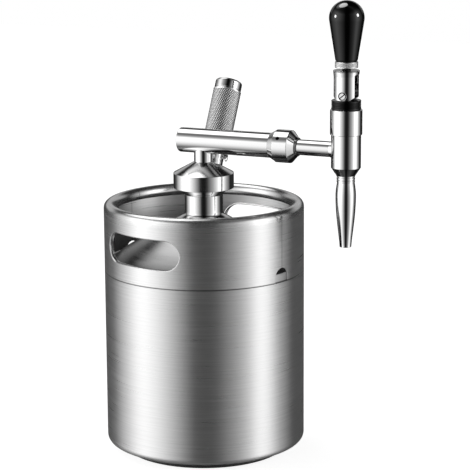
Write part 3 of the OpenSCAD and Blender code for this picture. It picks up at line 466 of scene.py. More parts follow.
# how far a place lies from the drill's line, which the painted shade of the hole follows right
# through the nut: the length of their cross product
off_line = add(tree, "VectorMath", [add(tree, "TexCoord", out="Object"), (HOLE_X, 0.0, arm_axis)],
               operation="SUBTRACT")
off_line = add(tree, "VectorMath", [off_line, drill], operation="CROSS_PRODUCT")
off_line = add(tree, "VectorMath", [off_line], "Value", operation="LENGTH")
# painted shade: near-black close to the drill's line, in the hole and on the nut's far side, where
# no hole is cut
painted_hole_shade = add(tree, "MapRange", [off_line, HOLE_SHADE_R, HOLE_SHADE_R + HOLE_EDGE, 1.0, 0.0])
plug(shader, {"Base Color": add(tree, "ValToRGB", [painted_hole_shade],
                                stops=[(0.0, "#DADADA"), (1.0, "#080808")])})

# the slot's floor lies behind the first limit, and the gap round the head outside the second: both
# are darkened with painted shade
SLOT_Y, HEAD_R = np.array([-9.45, -9.4]) * MM, np.array([2.5, 2.7]) * MM
slotted = finish("slotted_screw_steel", "#D4D4D4", 0.16, Metallic=1.0)
tree, shader = wiring(slotted)
spot = add(tree, "TexCoord", out="Object")
screw_axis = (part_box("pivot_screw")[0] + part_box("pivot_screw")[1]) / 2
off_axis = add(tree, "VectorMath", [spot, (screw_axis.x, 0, screw_axis.z)], operation="SUBTRACT")
deep = add(tree, "MapRange", [add(tree, "SeparateXYZ", [spot], "Y"), *SLOT_Y])
gap = add(tree, "MapRange", [radius_of(tree, off_axis, (1, 0, 1)), *HEAD_R])
# painted shade: the slot's floor and the gap round the head go near-black
slot_and_gap_shade = add(tree, "Math", [deep, gap], operation="MAXIMUM")
plug(shader, {"Base Color": add(tree, "ValToRGB", [slot_and_gap_shade],
                                stops=[(0.0, "#D4D4D4"), (1.0, "#0C0C0C")])})
print("the pin hole is", 2 * HOLE_SHADE_R / MM, "mm wide")

# %% [markdown]
# Other metals, plastics and rubber
#
# The charger is drawn steel with a bluish satin plate of zinc, and the handle's insert is turned
# brass. The handle is a phenolic knob: black, glass-smooth and fully opaque, so it shows only sharp
# reflections. The friction ring is a hard black plastic with a satin skin. The foot and the seals
# are black rubber, and the bushes round the stem are a white bearing plastic.

# %% Other finishes
plated = finish("zinc_plated_steel", "#BFC3C6", (0.28, 0.40), (5, 5, 5), Metallic=1.0)
brass = finish("turned_brass", "#D9BE7C", (0.2, 0.32), (25, 25, 0.8333), Metallic=1.0)
gloss = finish("black_phenolic", "#020202", (0.02, 0.04), (11.11,) * 3, IOR=1.42)
satin = finish("black_acetal", "#030303", (0.08, 0.14), (1.429,) * 3, 0.002, IOR=1.4)
rubber = finish("black_rubber", "#151515", (0.55, 0.75), (0.6667,) * 3, 0.03, IOR=1.52)
white_plastic = finish("white_bearing_plastic", "#EDEDEA", (0.32, 0.42), (3.333,) * 3, IOR=1.42)

FINISHES = {"brushed_steel": brushed, "polished_steel": polished, "plain_steel": turned,
            "dark_steel": dark_steel, "knurled_steel": knurled, "plated_steel": plated,
            "brass": brass, "black_rubber": rubber, "black_gloss": gloss,
            "black_plastic": satin, "white_plastic": white_plastic}
slot_of = {part["node"]: part["material_slot"] for part in frame["record"]["subparts"]}
body_of = {node: body for body, members in frame["record"]["behaviour"]["bodies"].items()
           for node in members}
for name, solid in nodes.items():
    solid.data.materials.clear()
    solid.data.materials.append(FINISHES[slot_of[name]])
# the dip tube is drawn and electropolished inside and out
nodes["dip_tube"].data.materials[0] = polished
print("finishes on", len(slot_of), "solids")

# %% [markdown]
# A lathe
#
# Nearly every part of this object is turned, spun or deep-drawn: a flat outline carried once round
# an axis. So the main tool is a lathe. An outline is a list of corners in millimetres, each a
# radius, a height and the radius of its rounding. Real edges are never quite sharp, and it is the
# small roundings that catch the light, so every corner gets one. The normals come from the outline
# itself and not from the facets, so a mirror-like cone reflects as a true cone.

# %% Outlines
def rounded(corners, arc_step=9.0):
    """Points and outward normals along a closed outline of (r, z, rounding) corners.
    A corner with sides u and w and half angle h between them becomes an arc about
    corner + bisector * rounding / sin(h), which touches each side at rounding / tan(h).
    A corner on the axis stays a point."""
    spots = np.array([corner[:2] for corner in corners], float)
    ahead = np.roll(spots, -1, axis=0)
    if np.sum(spots[:, 0] * ahead[:, 1] - ahead[:, 0] * spots[:, 1]) < 0:
        corners, spots = corners[::-1], spots[::-1]
    points, normals = [], []
    for i, (r, z, radius) in enumerate(corners):
        before, here, after = spots[i - 1], spots[i], spots[(i + 1) % len(spots)]
        if r == 0:
            points.append([[r, z]])
            normals.append([[0, np.sign(z - spots[:, 1].mean())]])
            continue
        u = (before - here) / np.linalg.norm(before - here)
        w = (after - here) / np.linalg.norm(after - here)
        half = math.acos(np.clip(u @ w, -1, 1)) / 2
        bend = math.pi - 2 * half
        turn = np.sign(u[1] * w[0] - u[0] * w[1])
        centre = here + (u + w) / np.linalg.norm(u + w) * radius / math.sin(half)
        steps = max(2, math.ceil(math.degrees(bend) / arc_step))
        first = here + u * radius / math.tan(half) - centre
        angle = turn * np.linspace(0, bend, steps + 1)
        swept = np.stack([first[0] * np.cos(angle) - first[1] * np.sin(angle),
                          first[0] * np.sin(angle) + first[1] * np.cos(angle)], axis=1)
        points.append(centre + swept)
        normals.append(turn * swept / radius)
    return np.concatenate(points), np.concatenate(normals)


def dense(outline, low, high, step):
    """Adds points to the outline's longest upright side, between two heights."""
    points, normals = outline
    i = int(np.argmax(np.abs(np.diff(points[:, 1], append=points[:1, 1]))
                      * (points[:, 0] > points[:, 0].mean())))
    levels = np.arange(low, high, step)
    if points[(i + 1) % len(points), 1] <= points[i, 1]:
        levels = levels[::-1]
    extra = np.stack([np.full(len(levels), points[i, 0]), levels], axis=1)
    facing = np.tile(normals[i], (len(levels), 1))
    return np.insert(points, i + 1, extra, axis=0), np.insert(normals, i + 1, facing, axis=0)


square = [(1, 0, 0.1), (2, 0, 0.1), (2, 1, 0.1), (1, 1, 0.1)]
print("a square corner becomes", len(rounded(square)[0]) // len(square), "points")

# %% Pieces
def at(x=0.0, y=0.0, z=0.0, turn=None):
    """The place of a lathe's axis, in millimetres: a turn, then a shift."""
    return Matrix.Translation((x, y, z)) @ (turn or Matrix()).to_4x4()


def placed(vectors, where, shift=True):
    """An array of millimetre vectors moved by a matrix, in metres when they are places."""
    matrix = np.array(where)
    moved = vectors @ matrix[:3, :3].T
    return (moved + matrix[:3, 3]) * MM if shift else moved


def quads(rows, columns, wrap_rows=False, wrap_columns=True):
    """Faces between neighbouring rows and columns of a grid numbered row by row."""
    i = np.arange(rows if wrap_rows else rows - 1)[:, None]
    j = np.arange(columns if wrap_columns else columns - 1)[None, :]
    i2, j2 = (i + 1) % rows, (j + 1) % columns
    return np.stack([i * columns + j, i * columns + j2, i2 * columns + j2, i2 * columns + j],
                    axis=-1).reshape(-1, 4)


def enlist(made, name, coat=None):
    """Gives an object its solid's body and a finish, by default the one for the solid's slot, and
    hides the solid.
    """
    made.data.materials.clear()
    made.data.materials.append(coat or FINISHES[slot_of[name]])
    bpy.context.collection.objects.link(made)
    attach(made, body_of[name])
    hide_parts(name)
    return made


def piece(ending, points, faces, name, normals=None, coat=None):
    """A mesh object that stands for a solid, named for it with an ending."""
    mesh = bpy.data.meshes.new(name + ending)
    mesh.from_pydata(points.tolist(), [], faces)
    mesh.shade_smooth()
    if normals is not None:
        mesh.normals_split_custom_set_from_vertices(normals.tolist())
    return enlist(bpy.data.objects.new(name + ending, mesh), name, coat)


def lathe(name, outline, where=at(), segments=160, coat=None, relief=None):
    """Turns an outline round an axis: the point at angle t is (r cos t, r sin t, z).
    relief is a height in mm, a function of the angle and of z, added along the radius."""
    points, normals = outline
    poles = np.where(points[:, 0] == 0)[0]
    if len(poles):
        points, normals = (np.roll(rows, -poles[-1], axis=0) for rows in outline)
    r, z = points[:, :1], points[:, 1:]
    t = np.arange(segments)[None, :] * 2 * np.pi / segments
    height = relief(t, z) if relief else 0.0
    grid = np.stack([(r + height) * np.cos(t), (r + height) * np.sin(t), z + 0 * t],
                    axis=-1).reshape(-1, 3)
    facing = np.stack([normals[:, :1] * np.cos(t), normals[:, :1] * np.sin(t),
                       normals[:, 1:] + 0 * t], axis=-1).reshape(-1, 3)
    faces = quads(len(points), segments, wrap_rows=not len(poles))
    keep = np.arange(len(grid))
    fans = []
    if len(poles):
        # the two ends lie on the axis: each ring there shrinks to its first vertex
        last = (len(points) - 1) * segments
        here, after = keep[:segments], np.roll(keep[:segments], -1)
        fans = np.concatenate([
            np.stack([0 * here, segments + after, segments + here], axis=1),
            np.stack([0 * here, here - segments, after - segments], axis=1) + last])
        keep = np.concatenate([[0], np.arange(segments, last + 1)])
        number = np.zeros(len(grid), int)
        number[keep] = np.arange(len(keep))
        faces, fans = number[faces[segments:-segments]], number[fans].tolist()
    made = piece("_turned", placed(grid[keep], where), faces.tolist() + fans, name, coat=coat,
                 normals=None if relief else placed(facing[keep], where, shift=False))
    if relief:
        # how deep each point lies, from 0 on the tips to 1 at the deepest, for painted shade in
        # grooves
        deep = -np.broadcast_to(height, (len(points), segments)).reshape(-1)[keep]
        made.data.attributes.new("groove", "FLOAT", "POINT").data.foreach_set(
            "value", (deep / max(deep.max(), 1e-9)).astype(np.float32))
    print(made.name, len(made.data.polygons), "faces")
    return made


print("an open tube of 2 rings with 8 points each has", len(quads(2, 8)), "faces")

# %% [markdown]
# The tank
#
# The tank is two drawings welded together: a deep cup with a dished bottom, and a coned top with
# the neck drawn out of it. Both are spun against a former, so their corners are generous. The
# sheet is 1.2 mm thick, and at the seam the cup's edge is pushed in by one thickness, which leaves
# the fine dark line that runs round the keg.

# %% Cup
SHEET = 1.2
SEAM_GAP = 0.4
keg_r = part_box("collar")[1].x / MM
steel_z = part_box("base_ring")[1].z / MM
seam_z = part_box("collar")[0].z / MM - SEAM_GAP
lip_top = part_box("tank_shell")[1].z / MM
bend_top, bend_low = seam_z - 1, seam_z - 3
corner_r, dish_r, dish_h = 5.5, 56.0, 12.0
dish_ball = (dish_r ** 2 + dish_h ** 2) / (2 * dish_h)
dish_span = math.degrees(math.asin(dish_r / dish_ball))


def dish(radius):
    """Outline corners along the dished bottom, from its edge up to the axis: an arc about the
    dish's centre."""
    centre = steel_z + dish_h - dish_ball
    return [(radius * math.cos(a), centre + radius * math.sin(a), 0.05)
            for a in np.radians(np.linspace(90 - dish_span, 90, 13))][:-1]


cup = ([(0, steel_z + dish_h, 0)] + dish(dish_ball)[::-1]
       + [(keg_r, steel_z, corner_r), (keg_r, seam_z, 0.25), (keg_r - SHEET, seam_z + 0.1, 0.15),
          (keg_r - SHEET, lip_top, 0.3), (keg_r - 2 * SHEET, lip_top, 0.3),
          (keg_r - 2 * SHEET, bend_top, 0.8), (keg_r - SHEET, bend_low, 0.8),
          (keg_r - SHEET, steel_z + SHEET, corner_r - SHEET)]
       + dish(dish_ball + SHEET) + [(0, steel_z + dish_h + SHEET, 0)])
lathe("tank_shell", rounded(cup), segments=256)

# %% Top
knuckle_r, neck_r, flare_r = 34.0, 16.7, 4.5
slope = math.radians(31)
knuckle_z = seam_z - 11.7
skirt_z = knuckle_z - 6
neck_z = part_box("tank_top")[1].z / MM
dome_r = keg_r - SHEET
cone_x = dome_r - knuckle_r + knuckle_r * math.sin(slope)
cone_z = knuckle_z + knuckle_r * math.cos(slope)
# the corner that the knuckle rounds off, where the skirt's line meets the cone's line
shoulder_z = cone_z - (dome_r - cone_x) * math.tan(slope)
crown_z = cone_z + (cone_x - neck_r) * math.tan(slope)
# along the cone the sheet's inner side lies this far below its outer one
inward = SHEET / math.cos(slope)
dome = [(neck_r, neck_z, 0.3), (neck_r - SHEET, neck_z, 0.3),
        (neck_r - SHEET, crown_z - inward + SHEET * math.tan(slope), flare_r + SHEET),
        (dome_r - SHEET, shoulder_z - inward + SHEET * math.tan(slope), knuckle_r - SHEET),
        (dome_r - SHEET, skirt_z, 0.3), (dome_r, skirt_z, 0.3),
        (dome_r, shoulder_z, knuckle_r), (neck_r, crown_z, flare_r)]
lathe("tank_top", rounded(dome, arc_step=4.0), segments=256, coat=spun)

# %% Neck ring
thread_r, spud_z = 21.6, neck_z + 14.5
NECK_PITCH, NECK_CUT = 3.0, 1.0
spud = [(neck_r - SHEET, neck_z, 0.2), (neck_r, neck_z, 0.2), (thread_r, neck_z + 5.5, 0.3),
        (thread_r, spud_z, 0.5), (neck_r - SHEET, spud_z, 0.3)]


def screw_thread(pitch, low, high, depth):
    """The relief of a thread: a triangle wave of z / pitch - t / turn, which climbs by one pitch
    a turn, and fades out at both ends."""
    def height(t, z):
        wave = np.abs(2 * ((z / pitch - t / (2 * np.pi)) % 1) - 1)
        fade = np.clip(np.minimum(z - low, high - z) / pitch, 0, 1)
        return -depth * (1 - wave) * fade
    return height


lathe("neck_spud", dense(rounded(spud), neck_z + 6.2, spud_z - 0.6, 0.35), coat=polished,
      relief=screw_thread(NECK_PITCH, neck_z + 6.4, spud_z - 0.6, NECK_CUT))

# %% [markdown]
# The collar
#
# The collar is a rolled sleeve with a weld above each drain notch. Its rim is curled inwards,
# its two hand slots are punched and folded in so that they don't cut the fingers, and a small
# arched notch lets rinsing water out. A boolean cut would leave hard, badly shaded edges here. So
# the wall is laid out as patches: round each opening a grid runs from the patch's border to the
# opening's outline, over a rounding, down the fold and back along the inside.

# %% Openings of the collar
wall_low = seam_z + SEAM_GAP
rim_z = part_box("collar")[1].z / MM
roll_r = 5.5
roll_z, roll_x = rim_z - roll_r, keg_r - roll_r
SLOT = {"half_w": 39.3, "half_h": 12.7, "z": seam_z + 15.9 + 12.7}
NOTCH = {"half_w": 8.2, "spring": seam_z + 12.6 - 8.2}
SLOT_SPAN, NOTCH_SPAN, STOREYS = 34, 11, 12
storeys = np.linspace(wall_low, roll_z, STOREYS + 1)


def joined(*runs):
    """Runs of points end to end: each run starts with the point that the last one ended with."""
    return np.concatenate([run[:-1] for run in runs[:-1]] + [runs[-1]])


def even(count, *runs):
    """Points spaced evenly along dense runs of points laid end to end, count steps in all."""
    line = np.concatenate(runs)
    length = np.concatenate([[0], np.cumsum(np.linalg.norm(np.diff(line, axis=0), axis=1))])
    steps = np.linspace(0, length[-1], count + 1)
    return np.stack([np.interp(steps, length, line[:, k]) for k in (0, 1)], axis=1)


def arch(x, z, radius, first, last):
    """A dense arc in (y, z) about (x, z), from the first to the last angle in degrees."""
    a = np.radians(np.linspace(first, last, 60))
    return np.stack([x + radius * np.cos(a), z + radius * np.sin(a)], axis=1)


def slot_line(grow):
    """The hand slot's outline in (y, z), a stadium, anticlockwise from its lower left."""
    end, r, z = SLOT["half_w"] - SLOT["half_h"], SLOT["half_h"] + grow, SLOT["z"]
    return joined(even(2 * SLOT_SPAN, arch(-end, z, r, 225, 270), arch(end, z, r, 270, 315)),
                  even(STOREYS, arch(end, z, r, -45, 45)),
                  even(2 * SLOT_SPAN, arch(end, z, r, 45, 90), arch(-end, z, r, 90, 135)),
                  even(STOREYS, arch(-end, z, r, 135, 225)))


def notch_line(grow):
    """The drain notch's outline in (y, z), an arch on two legs, from its right foot over."""
    w, z = NOTCH["half_w"] + grow, NOTCH["spring"]
    return joined(even(STOREYS, [[w, wall_low]], arch(0, z, w, 0, 45)),
                  even(2 * NOTCH_SPAN, arch(0, z, w, 45, 135)),
                  even(STOREYS, arch(0, z, w, 135, 180), [[-w, wall_low]]))


def frame_line(degrees, closed):
    """The patch's border in (angle, z): a rectangle whose columns are one degree apart."""
    columns = np.radians(np.arange(-degrees, degrees + 1))
    low, high = (np.stack([row, np.full(len(columns), z)], axis=1)
                 for row, z in ((columns, wall_low), (columns[::-1], roll_z)))
    right, left = (np.stack([np.full(STOREYS + 1, edge), levels], axis=1)
                   for edge, levels in ((columns[-1], storeys), (columns[0], storeys[::-1])))
    return joined(low, right, high, left) if closed else joined(right, high, left)


print("the hand slots are", 2 * SLOT["half_w"], "mm wide and the notches", 2 * NOTCH["half_w"])

# %% Patches of the collar
SLOT_ROUND, SLOT_FOLD, NOTCH_ROUND = 1.1, 4.0, 0.25


def on_wall(angle, z, depth):
    """A point in the wall: the radius is the keg's less the depth."""
    r = keg_r - depth + 0 * z
    return np.stack([r * np.cos(angle), r * np.sin(angle), z + 0 * angle], axis=-1)


def patch(outline, border, rows):
    """A grid from the border to an opening and back: each row is (weight, grow, depth).
    The weight blends the border's (angle, z) with the outline's, and depth goes into the wall."""
    grid = []
    for weight, grow, depth in rows:
        edge = outline(grow)
        angle = np.arcsin(edge[:, 0] / (keg_r - depth))
        mixed = border * (1 - weight) + np.stack([angle, edge[:, 1]], axis=1) * weight
        grid.append(on_wall(mixed[:, 0], mixed[:, 1], depth))
    return np.array(grid)


def edge_rows(rounding, depth):
    """The rows of a patch: wall, rounding, fold, its end, and back along the inside."""
    bend = np.radians(np.linspace(0, 90, 6))
    rows = [(w, rounding + 0.2 if w == 0.95 else rounding, 0.0) for w in (0, 0.3, 0.6, 0.85, 0.95)]
    rows += [(1.0, rounding * (1 - math.sin(a)), rounding * (1 - math.cos(a))) for a in bend]
    if depth > SHEET:
        rows += [(1.0, 0.0, depth - 0.3), (1.0, 0.1, depth - 0.05), (1.0, 0.3, depth),
                 (1.0, SHEET - 0.3, depth), (1.0, SHEET, depth - 0.3),
                 (1.0, SHEET, SHEET + 0.5), (1.0, SHEET + 0.5, SHEET)]
    else:
        rows += [(1.0, 0.0, SHEET - rounding), (1.0, rounding * 0.3, SHEET - rounding * 0.3),
                 (1.0, rounding, SHEET)]
    last = rows[-1][1]
    return rows + [(w, last, SHEET) for w in (0.9, 0.6, 0.3, 0)]


slot_patch = patch(slot_line, frame_line(SLOT_SPAN, closed=True), edge_rows(SLOT_ROUND, SLOT_FOLD))
notch_patch = patch(notch_line, frame_line(NOTCH_SPAN, closed=False),
                    edge_rows(NOTCH_ROUND, SHEET))
print("a slot's patch has", slot_patch.shape[0], "rows of", slot_patch.shape[1], "points")

# %% Wall of the collar
parts_of_wall, faces_of_wall = [], []


def lay(grid, degrees):
    """Adds a grid of points, turned about the keg's axis, and its faces. Returns the number of
    its first point."""
    first = sum(len(part) for part in parts_of_wall)
    c, s = math.cos(math.radians(degrees)), math.sin(math.radians(degrees))
    parts_of_wall.append(grid.reshape(-1, 3) @ np.array([[c, -s, 0], [s, c, 0], [0, 0, 1]]).T)
    faces_of_wall.extend((quads(*grid.shape[:2], wrap_columns=False) + first).tolist())
    return first


for side in (90, 270):
    lay(slot_patch, side)
for side in (0, 180):
    # the notch's two feet close the sheet between its outside and its inside
    foot = lay(notch_patch, side) + np.arange(notch_patch.shape[0]) * notch_patch.shape[1]
    faces_of_wall += [foot[::-1].tolist(), (foot + notch_patch.shape[1] - 1).tolist()]
for first in (NOTCH_SPAN, 90 + SLOT_SPAN, 180 + NOTCH_SPAN, 270 + SLOT_SPAN):
    columns = np.radians(np.arange(90 - SLOT_SPAN - NOTCH_SPAN + 1))
    lay(np.concatenate([on_wall(columns, storeys[::-1, None], SHEET),
                        on_wall(columns, storeys[:, None], 0.0)]), first)
for side in (90, 270):
    columns = np.radians(np.arange(-SLOT_SPAN, SLOT_SPAN + 1))
    lay(np.stack([on_wall(columns, wall_low, depth) for depth in (SHEET, 0.0)]), side)
CURL = 238
curl = np.radians(np.linspace(0, CURL, 40))
outer_roll, inner_roll = (
    np.stack([roll_x + r * np.cos(curl), roll_z + r * np.sin(curl)], axis=1)
    for r in (roll_r, roll_r - SHEET))
roll = np.concatenate([outer_roll, inner_roll[::-1]])
columns = np.radians(np.arange(361))[None, :]
lay(np.stack([roll[:, :1] * np.cos(columns), roll[:, :1] * np.sin(columns),
              roll[:, 1:] + 0 * columns], axis=-1), 0)

# points of neighbouring patches that meet in the same place become one
SAME_MM = 1e-4
wall_points = np.concatenate(parts_of_wall)
_, first_seen, same = np.unique(np.round(wall_points / SAME_MM).astype(np.int64), axis=0,
                                return_index=True, return_inverse=True)
wall_points = wall_points[first_seen]
wall_faces = [same.reshape(-1)[face].tolist() for face in faces_of_wall]
print("the collar's wall has", len(wall_points), "points")


# %% Collar
def collar_normals(v):
    """Normals from the surface's own formula: radial on the wall, from the roll's centre on the
    rim. A zero leaves the rounded edges to be shaded from their faces."""
    close = 1e-3
    r = np.linalg.norm(v[:, :2], axis=1)
    outwards = np.stack([v[:, 0] / r, v[:, 1] / r, 0 * r], axis=1)
    away = np.stack([r - roll_x, v[:, 2] - roll_z], axis=1)
    distance = np.linalg.norm(away, axis=1)
    lean = (outwards * (away[:, :1] / distance[:, None])
            + np.array([0, 0, 1]) * (away[:, 1:] / distance[:, None]))
    facing = np.zeros_like(v)
    on_rim = (v[:, 2] > roll_z + close) | (r < roll_x + 2)
    for depth, sign in ((0.0, 1), (SHEET, -1)):
        facing[on_rim & (np.abs(distance - roll_r + depth) < close)] = sign
    facing *= lean
    for depth, sign in ((0.0, 1), (SHEET, -1)):
        on_side = ~on_rim & (np.abs(r - keg_r + depth) < close)
        facing = np.where(on_side[:, None], sign * outwards, facing)
    return facing


keg_place = at(turn=Matrix.Rotation(KEG_TURN, 3, "Z"))
collar = piece("_folded", placed(wall_points, keg_place), wall_faces, "collar", coat=brushed_sheet,
               normals=placed(collar_normals(wall_points), keg_place, shift=False))
# the studio's panels reach the neck over and through the collar, as when it is lit from close by
collar.visible_glossy = False
print("the collar has", len(wall_faces), "faces")

# %% [markdown]
# The foot
#
# A moulded rubber ring is pressed on under the bottom, set well in from the wall, so that the keg
# seems to float a little and the steel never touches the table.

# %% Foot ring
foot_r, foot_w = keg_r - 15.5, 14.0
lathe("base_ring", rounded([(foot_r, steel_z, 0.4), (foot_r, 0, 2.0), (foot_r - foot_w, 0, 1.0),
                            (foot_r - foot_w, steel_z, 0.4)]), segments=192)

# %% [markdown]
# The head
#
# The cap, the arm and its nut are turned from bar and buffed. Their profiles are straight lines
# with small roundings, so that each face mirrors its own piece of the room: the cone mirrors the
# overhead panel, and the band mirrors the side panels.

# %% Cap
COFFEE_R, TUBE_R, SEAL_R = 3, 4, 6.2
cap_r, riser_r = 26.4, 8.2
cap_low, cap_top = (corner.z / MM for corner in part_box("cap"))
band_z = cap_top - 9.9
tube_top, seal_top, roof_z = 250.3, 247.0, 244.5
skirt_r = thread_r + 0.3
cap = [(cap_r, cap_low, 0.5), (cap_r, band_z, 0.45), (riser_r, cap_top, 0.3),
       (COFFEE_R, cap_top, 0.2), (COFFEE_R, tube_top, 0.2), (TUBE_R, tube_top, 0.2),
       (TUBE_R, seal_top, 0.2), (SEAL_R, seal_top, 0.2), (SEAL_R, roof_z, 0.2),
       (skirt_r, roof_z, 0.3), (skirt_r, cap_low, 0.3)]
lathe("cap", rounded(cap), segments=192, coat=capped)

# %% Arm and shank
arm_low, arm_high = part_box("arm_tube")
arm_z, arm_r = (arm_low.z + arm_high.z) / 2 / MM, (arm_high.z - arm_low.z) / 2 / MM
arm_back, arm_end = arm_low.x / MM, arm_high.x / MM
arm_front = 64.2
nut_bore = arm_r - 1.15
ARM_BORE, ARM_WALL = 4.5, 5
TO_X = Matrix.Rotation(math.pi / 2, 3, "Y")
ARM = at(z=arm_z, turn=TO_X)
arm = [(0, arm_back, 0), (arm_r, arm_back, 1.3), (arm_r, arm_front, 0.2),
       (nut_bore, arm_front, 0.2), (nut_bore, arm_end, 0.3), (ARM_BORE, arm_end, 0.3),
       (ARM_BORE, arm_back + ARM_WALL, 0.3), (0, arm_back + ARM_WALL, 0)]
lathe("arm_tube", rounded(arm), ARM, coat=faced)

shank_x, shank_end = (corner.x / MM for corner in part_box("shank"))
flange_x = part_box("shank_flange")[0].x / MM
shank_r, nose_r, rim_r = 6.7, 5.0, nut_bore - 0.2
shank = [(rim_r, shank_x, 0.1), (rim_r, shank_x + 3, 0.1), (shank_r, shank_x + 3, 0.2),
         (shank_r, flange_x, 0.1), (nose_r, flange_x, 0.1), (nose_r, shank_end - 1, 0.1),
         (COFFEE_R, shank_end - 1, 0.1), (COFFEE_R, shank_x, 0.1)]
lathe("shank", rounded(shank), ARM)

# %% [markdown]
# The tap
#
# A stout tap is a stack of turned pieces on one upright axis: a long nozzle, the body, a sleeve
# nut called the bonnet, a black ring, the lever's barrel and the knob. Only the barrel isn't round.

# %% Body and bonnet
def middle_and_radius(node):
    """The middle of a round solid along x, and its radius along y, in millimetres."""
    low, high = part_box(node)
    return (low.x + high.x) / 2 / MM, (high.y - low.y) / 2 / MM


faucet_x, body_r = middle_and_radius("faucet_body")
TAP = at(x=faucet_x)
body_low, body_top = arm_z - 14.6, arm_z + 13.6
cone_low = body_low - 6.9
bonnet_r = 13.65
bonnet_top = body_top + 21.4
roof_low = bonnet_top - 6
thread_in = bonnet_r - 2.7
# the bores: the stem's chamber, the seat's throat, the socket of the nozzle's disc, the stem
CHAMBER_R, THROAT_R, SOCKET_R, STEM_R = 8, 3.5, 6, 4.3
seat_z, socket_z = body_low + 3.5, cone_low + 5.6
tap_body = [(8.05, cone_low, 0.3), (body_r, body_low, 1.2), (body_r, body_top, 0.3),
            (thread_in, body_top, 0.2), (thread_in, roof_low, 0.2), (CHAMBER_R, roof_low, 0.2),
            (CHAMBER_R, seat_z, 0.3), (THROAT_R, seat_z, 0.3), (THROAT_R, socket_z, 0.3),
            (SOCKET_R, socket_z, 0.3), (SOCKET_R, cone_low, 0.3)]
lathe("faucet_body", rounded(tap_body), TAP)
bonnet = [(thread_in, body_top, 0.1), (bonnet_r, body_top, 0.35), (bonnet_r, bonnet_top, 0.9),
          (STEM_R, bonnet_top, 0.2), (STEM_R, roof_low, 0.2), (thread_in, roof_low, 0.2)]
lathe("bonnet", rounded(bonnet), TAP)

# %% Friction ring
ring_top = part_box("friction_ring")[1].z / MM
ring_r, ring_bore = 12.6, 5.6
RIDGE_MM, RIDGE_DEPTH = 1.3, 0.4


def ridges(t, z):
    """Fine grooves round the ring: the height falls by the depth in a cosine of z."""
    inside = (z > bonnet_top + 1.6) & (z < ring_top - 0.9)
    wave = 1 - np.cos(2 * np.pi * (z - bonnet_top) / RIDGE_MM)
    return np.where(inside, -RIDGE_DEPTH / 2 * wave, 0) + 0 * t


black_ring = [(ring_bore, bonnet_top, 0.2), (ring_r, bonnet_top, 0.3), (ring_r, ring_top, 0.5),
              (ring_bore, ring_top, 0.3)]
lathe("friction_ring", dense(rounded(black_ring), bonnet_top + 0.4, ring_top - 0.6, 0.13), TAP,
      relief=ridges)

# %% [markdown]
# The nozzle
#
# The spout is long so that the stout falls in a thin quiet stream. It swells towards the body,
# pulls in to a grip and has two grooves there for the fingers, so its outline is a curve with
# straight ends.

# %% Nozzle
tip_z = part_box("nozzle")[0].z / MM
nozzle_l = cone_low - tip_z
swell_up, swell_r, tip_r, grip_r, grip_h = 44.0, 8.7, 5.0, 7.85, 5.6
neck_under_grip = grip_r - 0.4
SPOUT_BORE, TIP_BORE, GROOVE, GROOVE_H = 3.2, 4.4, 0.6, 0.45
SWELL_POWER = 1.25
nozzle_top = cone_low + 2.6


def nozzle_radius(h):
    """A taper that swells as a power of the sine of the height above the tip, then a shoulder
    that falls to the grip as a cosine."""
    top = nozzle_l - grip_h
    swell = np.sin(np.pi / 2 * np.minimum(h / swell_up, 1)) ** SWELL_POWER
    taper = tip_r + (swell_r - tip_r) * swell
    fall = np.cos(np.pi / 2 * np.clip((h - swell_up) / (top - swell_up), 0, 1))
    shoulder = neck_under_grip + (swell_r - neck_under_grip) * fall
    return np.where(h < swell_up, taper, shoulder)


def groove(low):
    """A V-shaped groove round the grip, from a height upwards."""
    return [(grip_r, low, 0.15), (grip_r - GROOVE, low + GROOVE_H, 0.15),
            (grip_r, low + 2 * GROOVE_H, 0.15)]


heights = np.linspace(0.4, nozzle_l - grip_h, 40)
grip_z = cone_low - grip_h
nozzle = ([(SPOUT_BORE, tip_z + 1.2, 0.1), (TIP_BORE, tip_z, 0.2),
           (float(nozzle_radius(heights[0])), tip_z, 0.25)]
          + [(float(nozzle_radius(h)), tip_z + h, 0.02) for h in heights[1:]]
          + [(grip_r, grip_z, 0.35)] + groove(grip_z + 1.4) + groove(cone_low - 1.7)
          + [(grip_r, cone_low, 0.2), (SOCKET_R, cone_low, 0.1), (SOCKET_R, nozzle_top, 0.1),
             (SPOUT_BORE, nozzle_top, 0.1)])
lathe("nozzle", rounded(nozzle, arc_step=12), TAP)

# %% [markdown]
# The stud and the lock nut
#
# The handle screws on a stud that the lever carries, and a knurled nut locks it. The thread and
# the knurl are heights added along the radius. A knurl is pressed by two wheels whose ridges climb
# opposite ways, so its height is the lower of two triangle waves.

# %% Stud and lock nut
lock_low, lock_top = (corner.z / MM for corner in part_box("lock_nut"))
stud_low, stud_top = (corner.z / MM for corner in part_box("lever_stud"))
stud_r = 4.0
STUD_PITCH, STUD_CUT, LOCK_DIAMONDS, FADE_MM = 1.25, 0.65, 54, 0.5
stud = [(0, stud_low, 0), (stud_r, stud_low, 0.4), (stud_r, stud_top, 0.4), (0, stud_top, 0)]
lathe("lever_stud", dense(rounded(stud), stud_low + 0.6, stud_top - 0.6, 0.2), TAP, segments=96,
      relief=screw_thread(STUD_PITCH, stud_low + 0.5, stud_top - 0.5, STUD_CUT))


def diamonds(count, pitch, low, high, depth):
    """The relief of a knurl: the lower of two triangle waves that climb opposite ways, so that
    the ridges between two crossing sets of grooves are diamonds. It fades out at both ends."""
    def height(t, z):
        one = np.abs(2 * ((count * t / (2 * np.pi) + z / pitch) % 1) - 1)
        two = np.abs(2 * ((count * t / (2 * np.pi) - z / pitch) % 1) - 1)
        fade = np.clip(np.minimum(z - low, high - z) / FADE_MM, 0, 1)
        return -depth * (1 - np.minimum(one, two)) * fade
    return height


